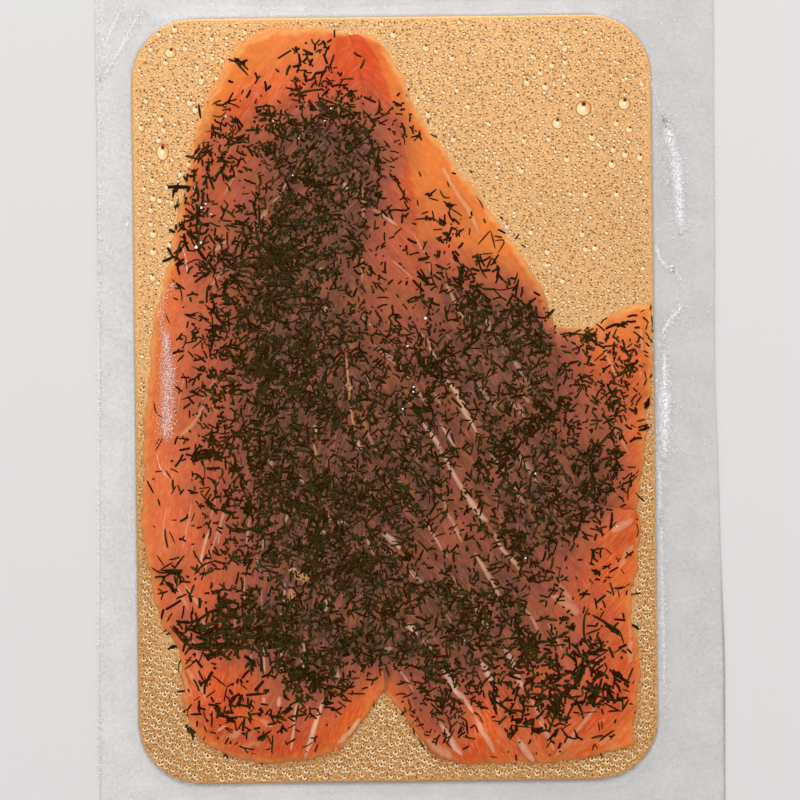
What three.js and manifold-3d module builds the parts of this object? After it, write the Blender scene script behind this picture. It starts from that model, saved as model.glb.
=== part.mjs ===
// A pack of gravlax: thin dill-covered leaves of cured salmon on a gold card board, in a flat clear pouch.
//
// Frame: millimetres, +Z up. The pack lies flat, shown side up. The origin is under the middle of the
// pouch, on the surface it lies on; +Y runs along the pouch, +X across it.
// The web of clear film that lies on the board and the fish is about a tenth of a millimetre thick and
// clings to them, so it has no solid here: the pouch solid is both webs where they meet round the board,
// and the lower web under it.

import * as THREE from 'three';
import { mergeVertices } from 'three/addons/utils/BufferGeometryUtils.js';
import Module from 'manifold-3d';

const wasm = await Module();
wasm.setup();

// ---------------------------------------------------------------------------------------------------
// Driving dimensions
// ---------------------------------------------------------------------------------------------------

// The pouch: its flat size, the lower web under the board, the two webs together round it, and how far
// from the board's edge the upper web needs to come down from the board's face to the lower web.
const POUCH = { width: 170, length: 250, corner: 2.5, web: 0.4, margin: 0.7, hem: 0.45, skirt: 4.5 };

// The board: a card with round corners. It lies a little left of the pouch's middle line.
const BOARD = { width: 140, length: 206, thickness: 1.1, corner: 16.5, middleX: -3.4, bevel: 0.15 };

const CLEARANCE = 0.1;      // between a piece and what it rests on
const LAP_CLEARANCE = 0.3;  // between two leaves of fish where one laps over the other
const LEAF_RIM = 0.35;      // what is left of a leaf at its very edge
const ROUND_RIM = 1.2;      // how far in from its edge a leaf is rounded off

const BOARD_TOP = POUCH.web + CLEARANCE + BOARD.thickness;
const FISH_FLOOR = BOARD_TOP + CLEARANCE;

// The three leaves of fish, measured from the board's middle. Each has four sides, and each side runs
// through its points as one smooth curve: left and right from the foot up, foot and head from left to
// right. taper is how far in from each side a leaf keeps getting thicker.
const LEAVES = {
  corner: {
    thickness: 2.6,
    thin: 0.9,
    left: [[27, -36], [24, -14], [25, 6], [34, 15.5]],
    right: [[64, -38], [65.6, -24], [67.6, -10], [69.2, 8], [69.6, 24.4]],
    foot: [[27, -36], [45, -41], [64, -38]],
    head: [[34, 15.5], [41, 17.6], [47.5, 18.6], [53.6, 19.2], [60.2, 23], [69.6, 24.4]],
    taper: { left: 30, right: 7, foot: 20, head: 9 },
  },
  left: {
    thickness: 4.8,
    thin: 1.1,
    left: [[-51.9, -93], [-57.4, -83], [-58.6, -68], [-63.8, -58], [-67.1, -43], [-68.3, -26.6],
      [-66.6, 3.4], [-64.2, 22.7], [-59.2, 43], [-54.9, 62.3], [-51.6, 73], [-47, 85], [-40.1, 96.2]],
    right: [[-3.7, -77.7], [2.5, -54.2], [4.7, -22], [7.2, 10], [6.2, 42.3], [2, 71.8], [-5.6, 94]],
    foot: [[-51.9, -93], [-42.2, -96.4], [-32.6, -97.5], [-23.5, -96.8], [-16.2, -94], [-10, -87],
      [-3.7, -77.7]],
    head: [[-40.1, 96.2], [-33.3, 98.8], [-22.3, 99.6], [-11.1, 98.8], [-5.6, 94]],
    taper: { left: 10, right: 34, foot: 10, head: 20 },
  },
  right: {
    thickness: 4.7,
    thin: 1.1,
    left: [[-4.2, -77.4], [-4.8, -59.5], [-7.3, -38], [-11.3, -16.2], [-12.1, 5], [-12.4, 26.4],
      [-9.6, 45], [-8, 64], [-8.5, 85.4], [-11.1, 98.2]],
    right: [[63.1, -93.8], [64.9, -72], [63, -55.4], [65.1, -42], [65, -31], [54, -28.4], [46.4, -18.4],
      [43.8, -1], [42.6, 22], [34.3, 38], [26.4, 50.4], [15.6, 64.2], [7.4, 76.6], [0.9, 90], [-3.8, 98]],
    foot: [[-4.2, -77.4], [0, -83.1], [5.5, -90.6], [13.8, -97.6], [30.1, -98.2], [41.1, -98.6],
      [52.1, -96.4], [63.1, -93.8]],
    head: [[-11.1, 98.2], [-7.3, 98.8], [-3.8, 98]],
    taper: { left: 30, right: 20, foot: 10, head: 22 },
  },
};
const GRID = { corner: [8, 10], left: [13, 30], right: [17, 32] };  // cells across and along each leaf
const TOLERANCE = 0.02;  // how far a face may move where a solid's flat stretches are merged

// Low waves in the fish: height, and lengths across and along.
const WAVES = { height: 0.28, across: 31, along: 47 };

// Dill: each drift is [x, y, half width, half length, how thickly it lies], from the board's middle.
const DRIFTS = [
  [-20, 78, 13, 10, 0.9], [-30, 55, 17, 20, 1], [-29, 18, 18, 30, 1], [-25, -22, 18, 24, 1],
  [-20, -34, 12, 11, 1], [-22, -66, 26, 13, 0.95], [26, 17, 17, 10, 1], [40, -8, 9, 27, 1],
  [56, -21, 13, 8, 0.9], [2, -14, 19, 38, 0.55], [55, 2, 12, 17, 0.6], [45, -71, 16, 14, 0.9],
  [16, -68, 20, 17, 0.85], [-53, 55, 6, 14, 0.8], [-59, -46, 4, 4, 1], [-50, -64, 10, 9, 0.8],
  [-50, -15, 14, 40, 0.22], [6, 55, 12, 22, 0.3], [58, -48, 8, 18, 0.25], [-20, -86, 24, 8, 0.25],
];
const FLECK = {
  seed: 41, most: { corner: 22, left: 96, right: 108 }, tries: 60000,
  longest: 4.8, shortest: 2.6, width: 0.64, height: 0.45, sunk: 0.4,
  apart: 4.1, fromRim: 2.4, sprigShare: 0.18, sprigAngle: 0.6, sprigLength: 0.75,
};

// Wrinkles in the pouch's margin: ridges through these points (from the pouch's middle), with their
// height and half width.
const WRINKLES = [
  { points: [[68.5, 84], [74, 60], [75.6, 44]], height: 0.9, halfWidth: 1.9 },
  { points: [[75.6, 44], [69, 34], [72, 24]], height: 0.7, halfWidth: 1.7 },
  { points: [[70.5, 24], [71.5, -20], [72, -84]], height: 0.55, halfWidth: 1.8 },
  { points: [[80, 98], [79, 60], [80.5, 10]], height: 0.3, halfWidth: 1.6 },
  { points: [[-78, 96], [-77.4, 30], [-78.4, -40]], height: 0.3, halfWidth: 1.6 },
  { points: [[-58, 112], [-20, 108.6], [24, 112.4]], height: 0.45, halfWidth: 2.2 },
  { points: [[-34, -110], [4, -113], [52, -109]], height: 0.45, halfWidth: 2.2 },
];

// ---------------------------------------------------------------------------------------------------
// Small helpers
// ---------------------------------------------------------------------------------------------------

const ease = (t) => Math.sin((Math.PI / 2) * Math.min(1, Math.max(0, t)));
const smooth = (t) => { const c = Math.min(1, Math.max(0, t)); return c * c * (3 - 2 * c); };

/** Repeatable random numbers from 0 to 1 (a 32-bit xorshift). */
function randomFrom(seed) {
  let state = seed >>> 0;
  return () => {
    state ^= state << 13; state >>>= 0;
    state ^= state >>> 17;
    state ^= state << 5; state >>>= 0;
    return state / 4294967296;
  };
}

const curveThrough = (points) => new THREE.SplineCurve(points.map(([x, y]) => new THREE.Vector2(x, y)));

/** A closed triangle mesh as a solid that can be cut and joined. */
function solidOf(positions, triangles) {
  const geometry = new THREE.BufferGeometry();
  geometry.setAttribute('position', new THREE.Float32BufferAttribute(positions.flat(), 3));
  geometry.setIndex(triangles.flat());
  const merged = mergeVertices(geometry, 1e-4);
  return new wasm.Manifold(new wasm.Mesh({
    numProp: 3,
    vertProperties: new Float32Array(merged.attributes.position.array),
    triVerts: new Uint32Array(merged.index.array),
  }));
}

/** The geometry of a solid, with a crease at every edge. */
function geometryOf(solid) {
  const mesh = solid.getMesh();
  const geometry = new THREE.BufferGeometry();
  geometry.setAttribute('position', new THREE.Float32BufferAttribute(Array.from(mesh.vertProperties), 3));
  geometry.setIndex(Array.from(mesh.triVerts));
  geometry.computeVertexNormals();
  return geometry;
}

function namedMesh(name, geometry, look) {
  const mesh = new THREE.Mesh(geometry, new THREE.MeshStandardMaterial(look));
  mesh.name = name;
  return mesh;
}

/** Triangles between two loops of n points each, outward for a second loop inside or above the first. */
function band(first, second, n) {
  const triangles = [];
  for (let i = 0; i < n; i++) {
    const j = (i + 1) % n;
    triangles.push([first + i, first + j, second + i], [first + j, second + j, second + i]);
  }
  return triangles;
}

// ---------------------------------------------------------------------------------------------------
// Pouch and board
// ---------------------------------------------------------------------------------------------------

const CORNER_STEPS = 6, SIDE_STEPS = { short: 12, long: 20 };

/** A round-cornered rectangle as a loop of points, anticlockwise, each straight side and each corner
 *  with the same number of steps whatever its size, so that two such loops pair up point by point. */
function roundedLoop(halfWidth, halfLength, radius, middleX) {
  const loop = [];
  const corners = [[1, 1, 0], [-1, 1, 1], [-1, -1, 2], [1, -1, 3]];
  corners.forEach(([sx, sy, quarter], k) => {
    const cx = middleX + sx * (halfWidth - radius), cy = sy * (halfLength - radius);
    for (let i = 0; i <= CORNER_STEPS; i++) {
      const angle = (quarter + i / CORNER_STEPS) * (Math.PI / 2);
      loop.push([cx + radius * Math.cos(angle), cy + radius * Math.sin(angle)]);
    }
    const steps = k % 2 === 0 ? SIDE_STEPS.short : SIDE_STEPS.long;
    const [nx, ny] = corners[(k + 1) % 4];
    const angle = (quarter + 1) * (Math.PI / 2);
    const from = loop[loop.length - 1];
    const to = [middleX + nx * (halfWidth - radius) + radius * Math.cos(angle),
      ny * (halfLength - radius) + radius * Math.sin(angle)];
    for (let i = 1; i < steps; i++) {
      const t = i / steps;
      loop.push([from[0] + (to[0] - from[0]) * t, from[1] + (to[1] - from[1]) * t]);
    }
  });
  return loop;
}

const wrinkleCurves = WRINKLES.map((w) => ({ ...w, spots: curveThrough(w.points).getSpacedPoints(30) }));

/** How far the wrinkles lift the upper web at a place: the highest of the ridges there, each a bell
 *  across and fading out along its last fifth at both ends. */
function wrinkle(x, y) {
  let lift = 0;
  for (const { spots, height, halfWidth } of wrinkleCurves) {
    let nearest = Infinity, at = 0;
    spots.forEach((p, i) => {
      const d = Math.hypot(p.x - x, p.y - y);
      if (d < nearest) [nearest, at] = [d, i / (spots.length - 1)];
    });
    const ends = smooth(Math.min(at, 1 - at) * 5);
    lift = Math.max(lift, height * ends * Math.exp(-((nearest / halfWidth) ** 2)));
  }
  return lift;
}

/** The pouch's edge wanders a little from straight, as cut film does. */
function waveredEdge([x, y]) {
  const sway = 0.35 * Math.sin(y / 23 + 1) + 0.25 * Math.sin(y / 9.5);
  const swell = 0.3 * Math.sin(x / 19) - 0.2 * Math.sin(x / 8 + 2);
  const inX = Math.abs(x) > POUCH.width / 2 - 1 ? -Math.sign(x) * (0.6 + sway) : 0;
  const inY = Math.abs(y) > POUCH.length / 2 - 1 ? -Math.sign(y) * (0.5 + swell) : 0;
  return [x + inX, y + inY];
}

/** The pouch: a thin sheet that rises to the board's face all round it, with a seat for the board. */
function pouchSolid() {
  const seat = roundedLoop(BOARD.width / 2 + LAP_CLEARANCE, BOARD.length / 2 + LAP_CLEARANCE,
    BOARD.corner + LAP_CLEARANCE, BOARD.middleX);
  const edge = roundedLoop(POUCH.width / 2, POUCH.length / 2, POUCH.corner, 0).map(waveredEdge);
  const n = seat.length;
  const positions = [], triangles = [];
  const addLoop = (points, height) => {
    points.forEach(([x, y], i) => positions.push([x, y, height(x, y, i)]));
    return positions.length - n;
  };
  const between = (t) => edge.map(([x, y], i) => [seat[i][0] + (x - seat[i][0]) * t,
    seat[i][1] + (y - seat[i][1]) * t]);
  const upper = (x, y, i) => {
    const out = Math.hypot(x - seat[i][0], y - seat[i][1]);
    const fall = 1 - smooth(out / POUCH.skirt);
    return POUCH.margin + (BOARD_TOP - POUCH.margin) * fall + wrinkle(x, y) * smooth(out / 2);
  };

  const rings = [1, 0.97, 0.86, 0.73, 0.6, 0.47, 0.34, 0.22, 0.11, 0.03];
  const underside = addLoop(edge, () => 0);
  let last = underside;
  for (const t of rings) {
    const ring = addLoop(between(t), t === 1 ? () => POUCH.hem : upper);
    triangles.push(...band(last, ring, n));
    last = ring;
  }
  const lip = addLoop(seat, () => BOARD_TOP - CLEARANCE);
  const floor = addLoop(seat, () => POUCH.web);
  triangles.push(...band(last, lip, n), ...band(lip, floor, n));
  positions.push([BOARD.middleX, 0, POUCH.web], [0, 0, 0]);
  const [seatMiddle, baseMiddle] = [positions.length - 2, positions.length - 1];
  for (let i = 0; i < n; i++) {
    const j = (i + 1) % n;
    triangles.push([floor + i, floor + j, seatMiddle], [underside + j, underside + i, baseMiddle]);
  }
  return solidOf(positions, triangles).simplify(TOLERANCE);
}

/** The board: the outline pushed up through the card's thickness, its edges just broken. */
function boardGeometry() {
  const { width, length, corner, bevel, middleX } = BOARD;
  const [w, l, r] = [width / 2 - bevel, length / 2 - bevel, corner - bevel];
  const outline = new THREE.Shape();
  outline.moveTo(w, -(l - r));
  outline.lineTo(w, l - r);
  outline.absarc(w - r, l - r, r, 0, Math.PI / 2);
  outline.lineTo(-(w - r), l);
  outline.absarc(-(w - r), l - r, r, Math.PI / 2, Math.PI);
  outline.lineTo(-w, -(l - r));
  outline.absarc(-(w - r), -(l - r), r, Math.PI, 1.5 * Math.PI);
  outline.lineTo(w - r, -l);
  outline.absarc(w - r, -(l - r), r, 1.5 * Math.PI, 2 * Math.PI);
  const geometry = new THREE.ExtrudeGeometry(outline, {
    depth: BOARD.thickness - 2 * bevel, curveSegments: 8,
    bevelEnabled: true, bevelThickness: bevel, bevelSize: bevel, bevelSegments: 1,
  });
  geometry.translate(middleX, 0, POUCH.web + CLEARANCE + bevel);
  return geometry;
}

// ---------------------------------------------------------------------------------------------------
// Fish
// ---------------------------------------------------------------------------------------------------

const SIDES = ['left', 'right', 'foot', 'head'];
const curves = {}, sidePoints = {};
for (const [name, leaf] of Object.entries(LEAVES)) {
  curves[name] = Object.fromEntries(SIDES.map((side) => [side, curveThrough(leaf[side])]));
  sidePoints[name] = Object.fromEntries(SIDES.map((side) => [side, curves[name][side].getSpacedPoints(48)]));
}

/** A leaf's grid point: its four sides blended, each opposite pair across and the corners taken off. */
function leafPoint(name, u, v) {
  const { left, right, foot, head } = curves[name];
  const [l, r, f, h] = [left.getPointAt(v), right.getPointAt(v), foot.getPointAt(u), head.getPointAt(u)];
  const corner = (key) => (1 - u) * (1 - v) * foot.getPoint(0)[key] + u * (1 - v) * foot.getPoint(1)[key]
    + (1 - u) * v * head.getPoint(0)[key] + u * v * head.getPoint(1)[key];
  return ['x', 'y'].map((key) => (1 - u) * l[key] + u * r[key] + (1 - v) * f[key] + v * h[key] - corner(key));
}

/** The shortest way from a place to a chain of points. */
function distanceTo(points, x, y) {
  let nearest = Infinity;
  for (let i = 1; i < points.length; i++) {
    const [a, b] = [points[i - 1], points[i]];
    const [dx, dy] = [b.x - a.x, b.y - a.y];
    const t = Math.min(1, Math.max(0, ((x - a.x) * dx + (y - a.y) * dy) / (dx * dx + dy * dy)));
    nearest = Math.min(nearest, Math.hypot(x - a.x - t * dx, y - a.y - t * dy));
  }
  return nearest;
}

/** Whether a place is inside a leaf's outline, by counting the edges to its right. */
function inside(name, x, y) {
  const { left, right, foot, head } = sidePoints[name];
  const loop = [...foot, ...right, ...[...head].reverse(), ...[...left].reverse()];
  let within = false;
  loop.forEach((a, i) => {
    const b = loop[(i + 1) % loop.length];
    if ((a.y > y) !== (b.y > y) && x < a.x + ((y - a.y) / (b.y - a.y)) * (b.x - a.x)) within = !within;
  });
  return within;
}

/** A leaf's thickness at a place: it grows from thin to its full thickness over each side's taper, and
 *  its very edge is rounded off. */
function thickness(name, x, y) {
  const { thickness: full, thin, taper } = LEAVES[name];
  const away = SIDES.map((side) => distanceTo(sidePoints[name][side], x, y));
  const grown = SIDES.reduce((part, side, i) => part * ease(away[i] / taper[side]), 1);
  const rim = Math.sqrt(1 - (1 - Math.min(1, Math.min(...away) / ROUND_RIM)) ** 2);
  const wave = WAVES.height * Math.sin(x / WAVES.across * 2 * Math.PI + 0.6)
    * Math.sin(y / WAVES.along * 2 * Math.PI + 0.3 * x / WAVES.across);
  return LEAF_RIM + (thin - LEAF_RIM + (full - thin + wave) * grown) * rim;
}

/** The top of what a leaf lies on at a place: the board, or a leaf under it. */
function support(name, x, y) {
  const under = name === 'right' ? ['left', 'corner'] : [];
  const here = under.filter((other) => inside(other, x, y));
  return Math.max(FISH_FLOOR, ...here.map((other) => topOf(other, x, y) + LAP_CLEARANCE));
}

const topOf = (name, x, y) => support(name, x, y) + thickness(name, x, y);

/** A leaf down to the board: its upper face on a grid that is finer at the sides, over a flat face.
 *  With room, the upper face is that much higher and the rim that much further out. */
function leafBlank(name, room = 0) {
  const [across, along] = GRID[name];
  const finer = (i, n) => 0.5 - 0.5 * Math.cos(Math.PI * i / n) * (1 - 0.28 * Math.sin(Math.PI * i / n) ** 2);
  const inner = (i, n) => Math.min(n - 1, Math.max(1, i));
  const place = (i, j) => leafPoint(name, finer(i, across), finer(j, along));
  const positions = [], triangles = [];
  for (const flat of [false, true]) {
    for (let j = 0; j <= along; j++) {
      for (let i = 0; i <= across; i++) {
        const [x, y] = place(i, j);
        const [ix, iy] = place(inner(i, across), inner(j, along));
        const out = room / Math.max(room, Math.hypot(x - ix, y - iy), 1e-9);
        positions.push([x + (x - ix) * out + BOARD.middleX, y + (y - iy) * out,
          flat ? FISH_FLOOR - room : topOf(name, x, y) + room]);
      }
    }
  }
  const lower = (across + 1) * (along + 1);
  const at = (i, j) => j * (across + 1) + i;
  for (let j = 0; j < along; j++) {
    for (let i = 0; i < across; i++) {
      const [a, b, c, d] = [at(i, j), at(i + 1, j), at(i + 1, j + 1), at(i, j + 1)];
      triangles.push([a, b, c], [a, c, d]);
      triangles.push([a, c, b].map((k) => k + lower), [a, d, c].map((k) => k + lower));
    }
  }
  const rim = [];
  for (let i = 0; i < across; i++) rim.push(at(i, 0));
  for (let j = 0; j < along; j++) rim.push(at(across, j));
  for (let i = across; i > 0; i--) rim.push(at(i, along));
  for (let j = along; j > 0; j--) rim.push(at(0, j));
  rim.forEach((a, k) => {
    const b = rim[(k + 1) % rim.length];
    triangles.push([a + lower, b + lower, b], [a + lower, b, a]);
  });
  return solidOf(positions, triangles);
}

/** How thickly the dill lies at a place, from 0 to 1: the densest of the drifts there. */
function dillAt(x, y) {
  return DRIFTS.reduce((most, [cx, cy, rx, ry, weight]) => Math.max(most,
    weight * smooth(1.5 - Math.hypot((x - cx) / rx, (y - cy) / ry))), 0);
}

/** One needle of dill: two pointed ends and two three-cornered sections between them, laid along the
 *  fish from (x, y), its back above the surface and its two lower edges sunk in it. */
function needle(name, x, y, angle, length) {
  const [dx, dy] = [Math.cos(angle), Math.sin(angle)];
  const spot = (along, side, lift) => {
    const [px, py] = [x + dx * along - dy * side, y + dy * along + dx * side];
    return [px + BOARD.middleX, py, topOf(name, px, py) + lift];
  };
  const positions = [spot(0, 0, 0), spot(length, 0, 0)];
  for (const share of [0.22, 0.76]) {
    const half = FLECK.width / 2;
    positions.push(spot(length * share, -half, -FLECK.sunk), spot(length * share, 0, FLECK.height),
      spot(length * share, half, -FLECK.sunk));
  }
  const triangles = [];
  for (let k = 0; k < 3; k++) {
    const [a, b] = [2 + k, 2 + (k + 1) % 3];
    const [c, d] = [a + 3, b + 3];
    triangles.push([0, a, b], [a, d, b], [a, c, d], [c, 1, d]);
  }
  return solidOf(positions, triangles);
}

/** Whether a needle from one place to another stays on the leaf's bare part, clear of every rim. */
function clearOf(name, ends) {
  return ends.every(([x, y]) => {
    if (!inside(name, x, y)) return false;
    if (name !== 'right' && inside('right', x, y)) return false;
    const rims = SIDES.map((side) => distanceTo(sidePoints[name][side], x, y));
    if (name !== 'right') rims.push(...SIDES.map((side) => distanceTo(sidePoints.right[side], x, y)));
    return Math.min(...rims) > FLECK.fromRim;
  });
}

/** The needles on a leaf, the longest first, thickest where the drifts are and never too close. */
function needlesOn(name, random) {
  const xs = [], ys = [];
  SIDES.forEach((side) => sidePoints[name][side].forEach((p) => { xs.push(p.x); ys.push(p.y); }));
  const [x0, x1, y0, y1] = [Math.min(...xs), Math.max(...xs), Math.min(...ys), Math.max(...ys)];
  const taken = [], needles = [];
  for (let k = 0; k < FLECK.tries && taken.length < FLECK.most[name]; k++) {
    const x = x0 + (x1 - x0) * random(), y = y0 + (y1 - y0) * random();
    const angle = 2 * Math.PI * random(), sprig = random() < FLECK.sprigShare;
    if (random() > dillAt(x, y) || taken.some(([a, b]) => Math.hypot(a - x, b - y) < FLECK.apart)) continue;
    const length = FLECK.longest + (FLECK.shortest - FLECK.longest) * (taken.length / FLECK.most[name]);
    const arms = [[angle, length]];
    if (sprig) arms.push([angle + FLECK.sprigAngle, length * FLECK.sprigLength]);
    const ends = arms.map(([turn, reach]) => [x + reach * Math.cos(turn), y + reach * Math.sin(turn)]);
    if (!clearOf(name, [[x, y], ...ends])) continue;
    taken.push([x, y]);
    arms.forEach(([turn, reach]) => needles.push(needle(name, x, y, turn, reach)));
  }
  return needles;
}

/** The biggest single body of a solid: a scrap that a cut leaves loose is dropped. */
function mainBody(solid) {
  const bodies = solid.decompose();
  return bodies.reduce((best, body) => (body.volume() > best.volume() ? body : best));
}

/** All leaves, cut clear of the leaves under them and with their dill joined on. */
function leafGeometries() {
  const random = randomFrom(FLECK.seed);
  const blanks = Object.fromEntries(Object.keys(LEAVES).map((name) => [name, leafBlank(name)]));
  for (const under of ['left', 'corner']) {
    blanks.right = blanks.right.subtract(leafBlank(under, LAP_CLEARANCE));
  }
  const geometries = {};
  for (const [name, blank] of Object.entries(blanks)) {
    const bare = mainBody(blank).simplify(TOLERANCE);
    const dressed = needlesOn(name, random).reduce((leaf, one) => leaf.add(one), bare);
    geometries[name] = geometryOf(mainBody(dressed).simplify(TOLERANCE / 4));
  }
  return geometries;
}

// ---------------------------------------------------------------------------------------------------
// The pack
// ---------------------------------------------------------------------------------------------------

const pack = new THREE.Group();

pack.add(namedMesh('pouch', geometryOf(pouchSolid()),
  { color: 0xd9dadb, roughness: 0.15, metalness: 0, transparent: true, opacity: 0.45 }));
pack.add(namedMesh('board', boardGeometry(), { color: 0xe0ad6a, roughness: 0.38, metalness: 0.8 }));

const leaves = leafGeometries();
pack.add(namedMesh('slice_corner', leaves.corner, { color: 0xdc6a34, roughness: 0.3, metalness: 0 }));
pack.add(namedMesh('slice_left', leaves.left, { color: 0xd9652f, roughness: 0.3, metalness: 0 }));
pack.add(namedMesh('slice_right', leaves.right, { color: 0xd66233, roughness: 0.3, metalness: 0 }));

export default pack;
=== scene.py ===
# %% [markdown]
# # A pack of gravlax, dressed for the camera
#
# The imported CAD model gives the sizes: a clear pouch, a gold card board and three leaves of fish. This
# lesson keeps every piece where the CAD has it and gives it the surface of the real one. Everything is
# measured in millimetres here and turned into metres only where a mesh is made.

# %% Load the frame
import math

import bpy
import numpy as np
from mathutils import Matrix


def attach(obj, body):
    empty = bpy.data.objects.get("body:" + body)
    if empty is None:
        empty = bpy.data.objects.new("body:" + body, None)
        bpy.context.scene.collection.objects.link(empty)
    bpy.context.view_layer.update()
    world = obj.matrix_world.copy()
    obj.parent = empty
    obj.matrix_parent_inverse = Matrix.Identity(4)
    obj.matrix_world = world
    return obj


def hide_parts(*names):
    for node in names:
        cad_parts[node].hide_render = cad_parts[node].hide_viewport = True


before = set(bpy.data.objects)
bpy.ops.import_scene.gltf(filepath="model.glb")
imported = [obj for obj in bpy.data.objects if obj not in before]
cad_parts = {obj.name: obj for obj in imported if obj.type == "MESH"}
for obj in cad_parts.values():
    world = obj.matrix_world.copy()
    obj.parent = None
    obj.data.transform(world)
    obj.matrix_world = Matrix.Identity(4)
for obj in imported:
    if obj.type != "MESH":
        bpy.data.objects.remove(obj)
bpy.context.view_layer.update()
MM = 0.001


print("the CAD nodes are", sorted(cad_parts))

# %% [markdown]
# ## The sizes of the pack
#
# A pouch of this kind is a flat bag of two clear webs, welded at its edges, and drawn down on the board
# and the fish by vacuum. These are the same driving sizes as in the CAD source, so that a piece made
# here and the solid that it stands for are one shape. Places on the board are measured from the
# board's own middle, which lies a little to the left of the pouch's.

# %% Sizes, in millimetres
POUCH = {"width": 170, "length": 250, "margin": 0.7, "hem": 0.45, "skirt": 4.5}
BOARD = {"width": 140, "length": 206, "thickness": 1.1, "corner": 16.5, "middle_x": -3.4, "bevel": 0.15}
BOARD_FLOOR = 0.5
BOARD_TOP = BOARD_FLOOR + BOARD["thickness"]
FISH_FLOOR = BOARD_TOP + 0.1
LAP_CLEARANCE = 0.3
LEAF_RIM = 0.35
ROUND_RIM = 1.2
FEATHER = 10
SEAM_GAP = 0.03
WAVES = {"height": 0.28, "across": 31, "along": 47}

LEAVES = {
    "corner": {
        "thickness": 2.6, "thin": 0.9,
        "left": [(27, -36), (24, -14), (25, 6), (34, 15.5)],
        "right": [(64, -38), (65.6, -24), (67.6, -10), (69.2, 8), (69.6, 24.4)],
        "foot": [(27, -36), (45, -41), (64, -38)],
        "head": [(34, 15.5), (41, 17.6), (47.5, 18.6), (53.6, 19.2), (60.2, 23), (69.6, 24.4)],
        "taper": {"left": 30, "right": 7, "foot": 20, "head": 9},
    },
    "left": {
        "thickness": 4.8, "thin": 1.1,
        "left": [(-51.9, -93), (-57.4, -83), (-58.6, -68), (-63.8, -58), (-67.1, -43), (-68.3, -26.6),
                 (-66.6, 3.4), (-64.2, 22.7), (-59.2, 43), (-54.9, 62.3), (-51.6, 73), (-47, 85),
                 (-40.1, 96.2)],
        "right": [(-3.7, -77.7), (2.5, -54.2), (4.7, -22), (7.2, 10), (6.2, 42.3), (2, 71.8), (-5.6, 94)],
        "foot": [(-51.9, -93), (-42.2, -96.4), (-32.6, -97.5), (-23.5, -96.8), (-16.2, -94), (-10, -87),
                 (-3.7, -77.7)],
        "head": [(-40.1, 96.2), (-33.3, 98.8), (-22.3, 99.6), (-11.1, 98.8), (-5.6, 94)],
        "taper": {"left": 10, "right": 34, "foot": 10, "head": 20},
    },
    "right": {
        "thickness": 4.7, "thin": 1.1,
        "left": [(-4.2, -77.4), (-4.8, -59.5), (-7.3, -38), (-11.3, -16.2), (-12.1, 5), (-12.4, 26.4),
                 (-9.6, 45), (-8, 64), (-8.5, 85.4), (-11.1, 98.2)],
        "right": [(63.1, -93.8), (64.9, -72), (63, -55.4), (65.1, -42), (65, -31), (54, -28.4),
                  (46.4, -18.4), (43.8, -1), (42.6, 22), (34.3, 38), (26.4, 50.4), (15.6, 64.2),
                  (7.4, 76.6), (0.9, 90), (-3.8, 98)],
        "foot": [(-4.2, -77.4), (0, -83.1), (5.5, -90.6), (13.8, -97.6), (30.1, -98.2), (41.1, -98.6),
                 (52.1, -96.4), (63.1, -93.8)],
        "head": [(-11.1, 98.2), (-7.3, 98.8), (-3.8, 98)],
        "taper": {"left": 30, "right": 20, "foot": 10, "head": 22},
    },
}
SIDES = ("left", "right", "foot", "head")

# %% [markdown]
# ## Curves through points
#
# The outline of a leaf of fish is an irregular hand-cut curve. A few points and a smooth curve through
# them say it well. The curve used here is the uniform Catmull-Rom spline, the same one as in the CAD
# source, walked at an even pace, so that both outlines agree.

# %% Splines
CHORDS = 800
SIDE_POINTS = 49


def spline(points, t):
    """Points of the Catmull-Rom curve through `points` at `t` from 0 to 1: between two neighbours a
    cubic whose slope at each is half the way from the point before to the point after."""
    points = np.asarray(points, float)
    last = len(points) - 1
    place = np.asarray(t, float) * last
    start = np.clip(np.floor(place).astype(int), 0, last - 1)
    w = (place - start)[:, None]
    before, here = points[np.maximum(start - 1, 0)], points[start]
    there, after = points[start + 1], points[np.minimum(start + 2, last)]
    leave, arrive = (there - before) / 2, (after - here) / 2
    return ((2 * here - 2 * there + leave + arrive) * w**3
            + (-3 * here + 3 * there - 2 * leave - arrive) * w**2 + leave * w + here)


def even(points, s):
    """Points of the same curve at shares `s` of its length: lengths are added up along many short chords
    and read backwards."""
    t = np.linspace(0, 1, CHORDS + 1)
    chain = spline(points, t)
    run = np.concatenate([[0], np.cumsum(np.linalg.norm(np.diff(chain, axis=0), axis=1))])
    return spline(points, np.interp(np.asarray(s) * run[-1], run, t))


def near(chain, x, y):
    """The shortest distance from each place to a chain of points, and how far along the chain, from 0
    to 1, the nearest spot is: the foot of the perpendicular on each chord, kept between its ends."""
    x, y = np.asarray(x, float), np.asarray(y, float)
    best, where = np.full(x.shape, np.inf), np.zeros(x.shape)
    steps = len(chain) - 1
    for i in range(steps):
        (ax, ay), (bx, by) = chain[i], chain[i + 1]
        dx, dy = bx - ax, by - ay
        t = np.clip(((x - ax) * dx + (y - ay) * dy) / (dx * dx + dy * dy), 0, 1)
        d = np.hypot(x - ax - t * dx, y - ay - t * dy)
        closer = d < best
        best[closer], where[closer] = d[closer], (i + t[closer]) / steps
    return best, where


CHAINS = {name: {side: even(leaf[side], np.linspace(0, 1, SIDE_POINTS)) for side in SIDES}
          for name, leaf in LEAVES.items()}
print("outlines:", {name: len(chain) * SIDE_POINTS for name, chain in CHAINS.items()}, "points")

# %% [markdown]
# ## How thick the fish is
#
# A leaf cut from a cured side is thin at its edges and thickest in the middle. Each side of the
# outline has its own taper, the distance over which the leaf grows to its full thickness, and the very
# edge is rounded off. The height of the whole stack is kept on a raster of half a millimetre, because
# several pieces lie on it: the upper leaf, the dill and the film.

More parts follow.
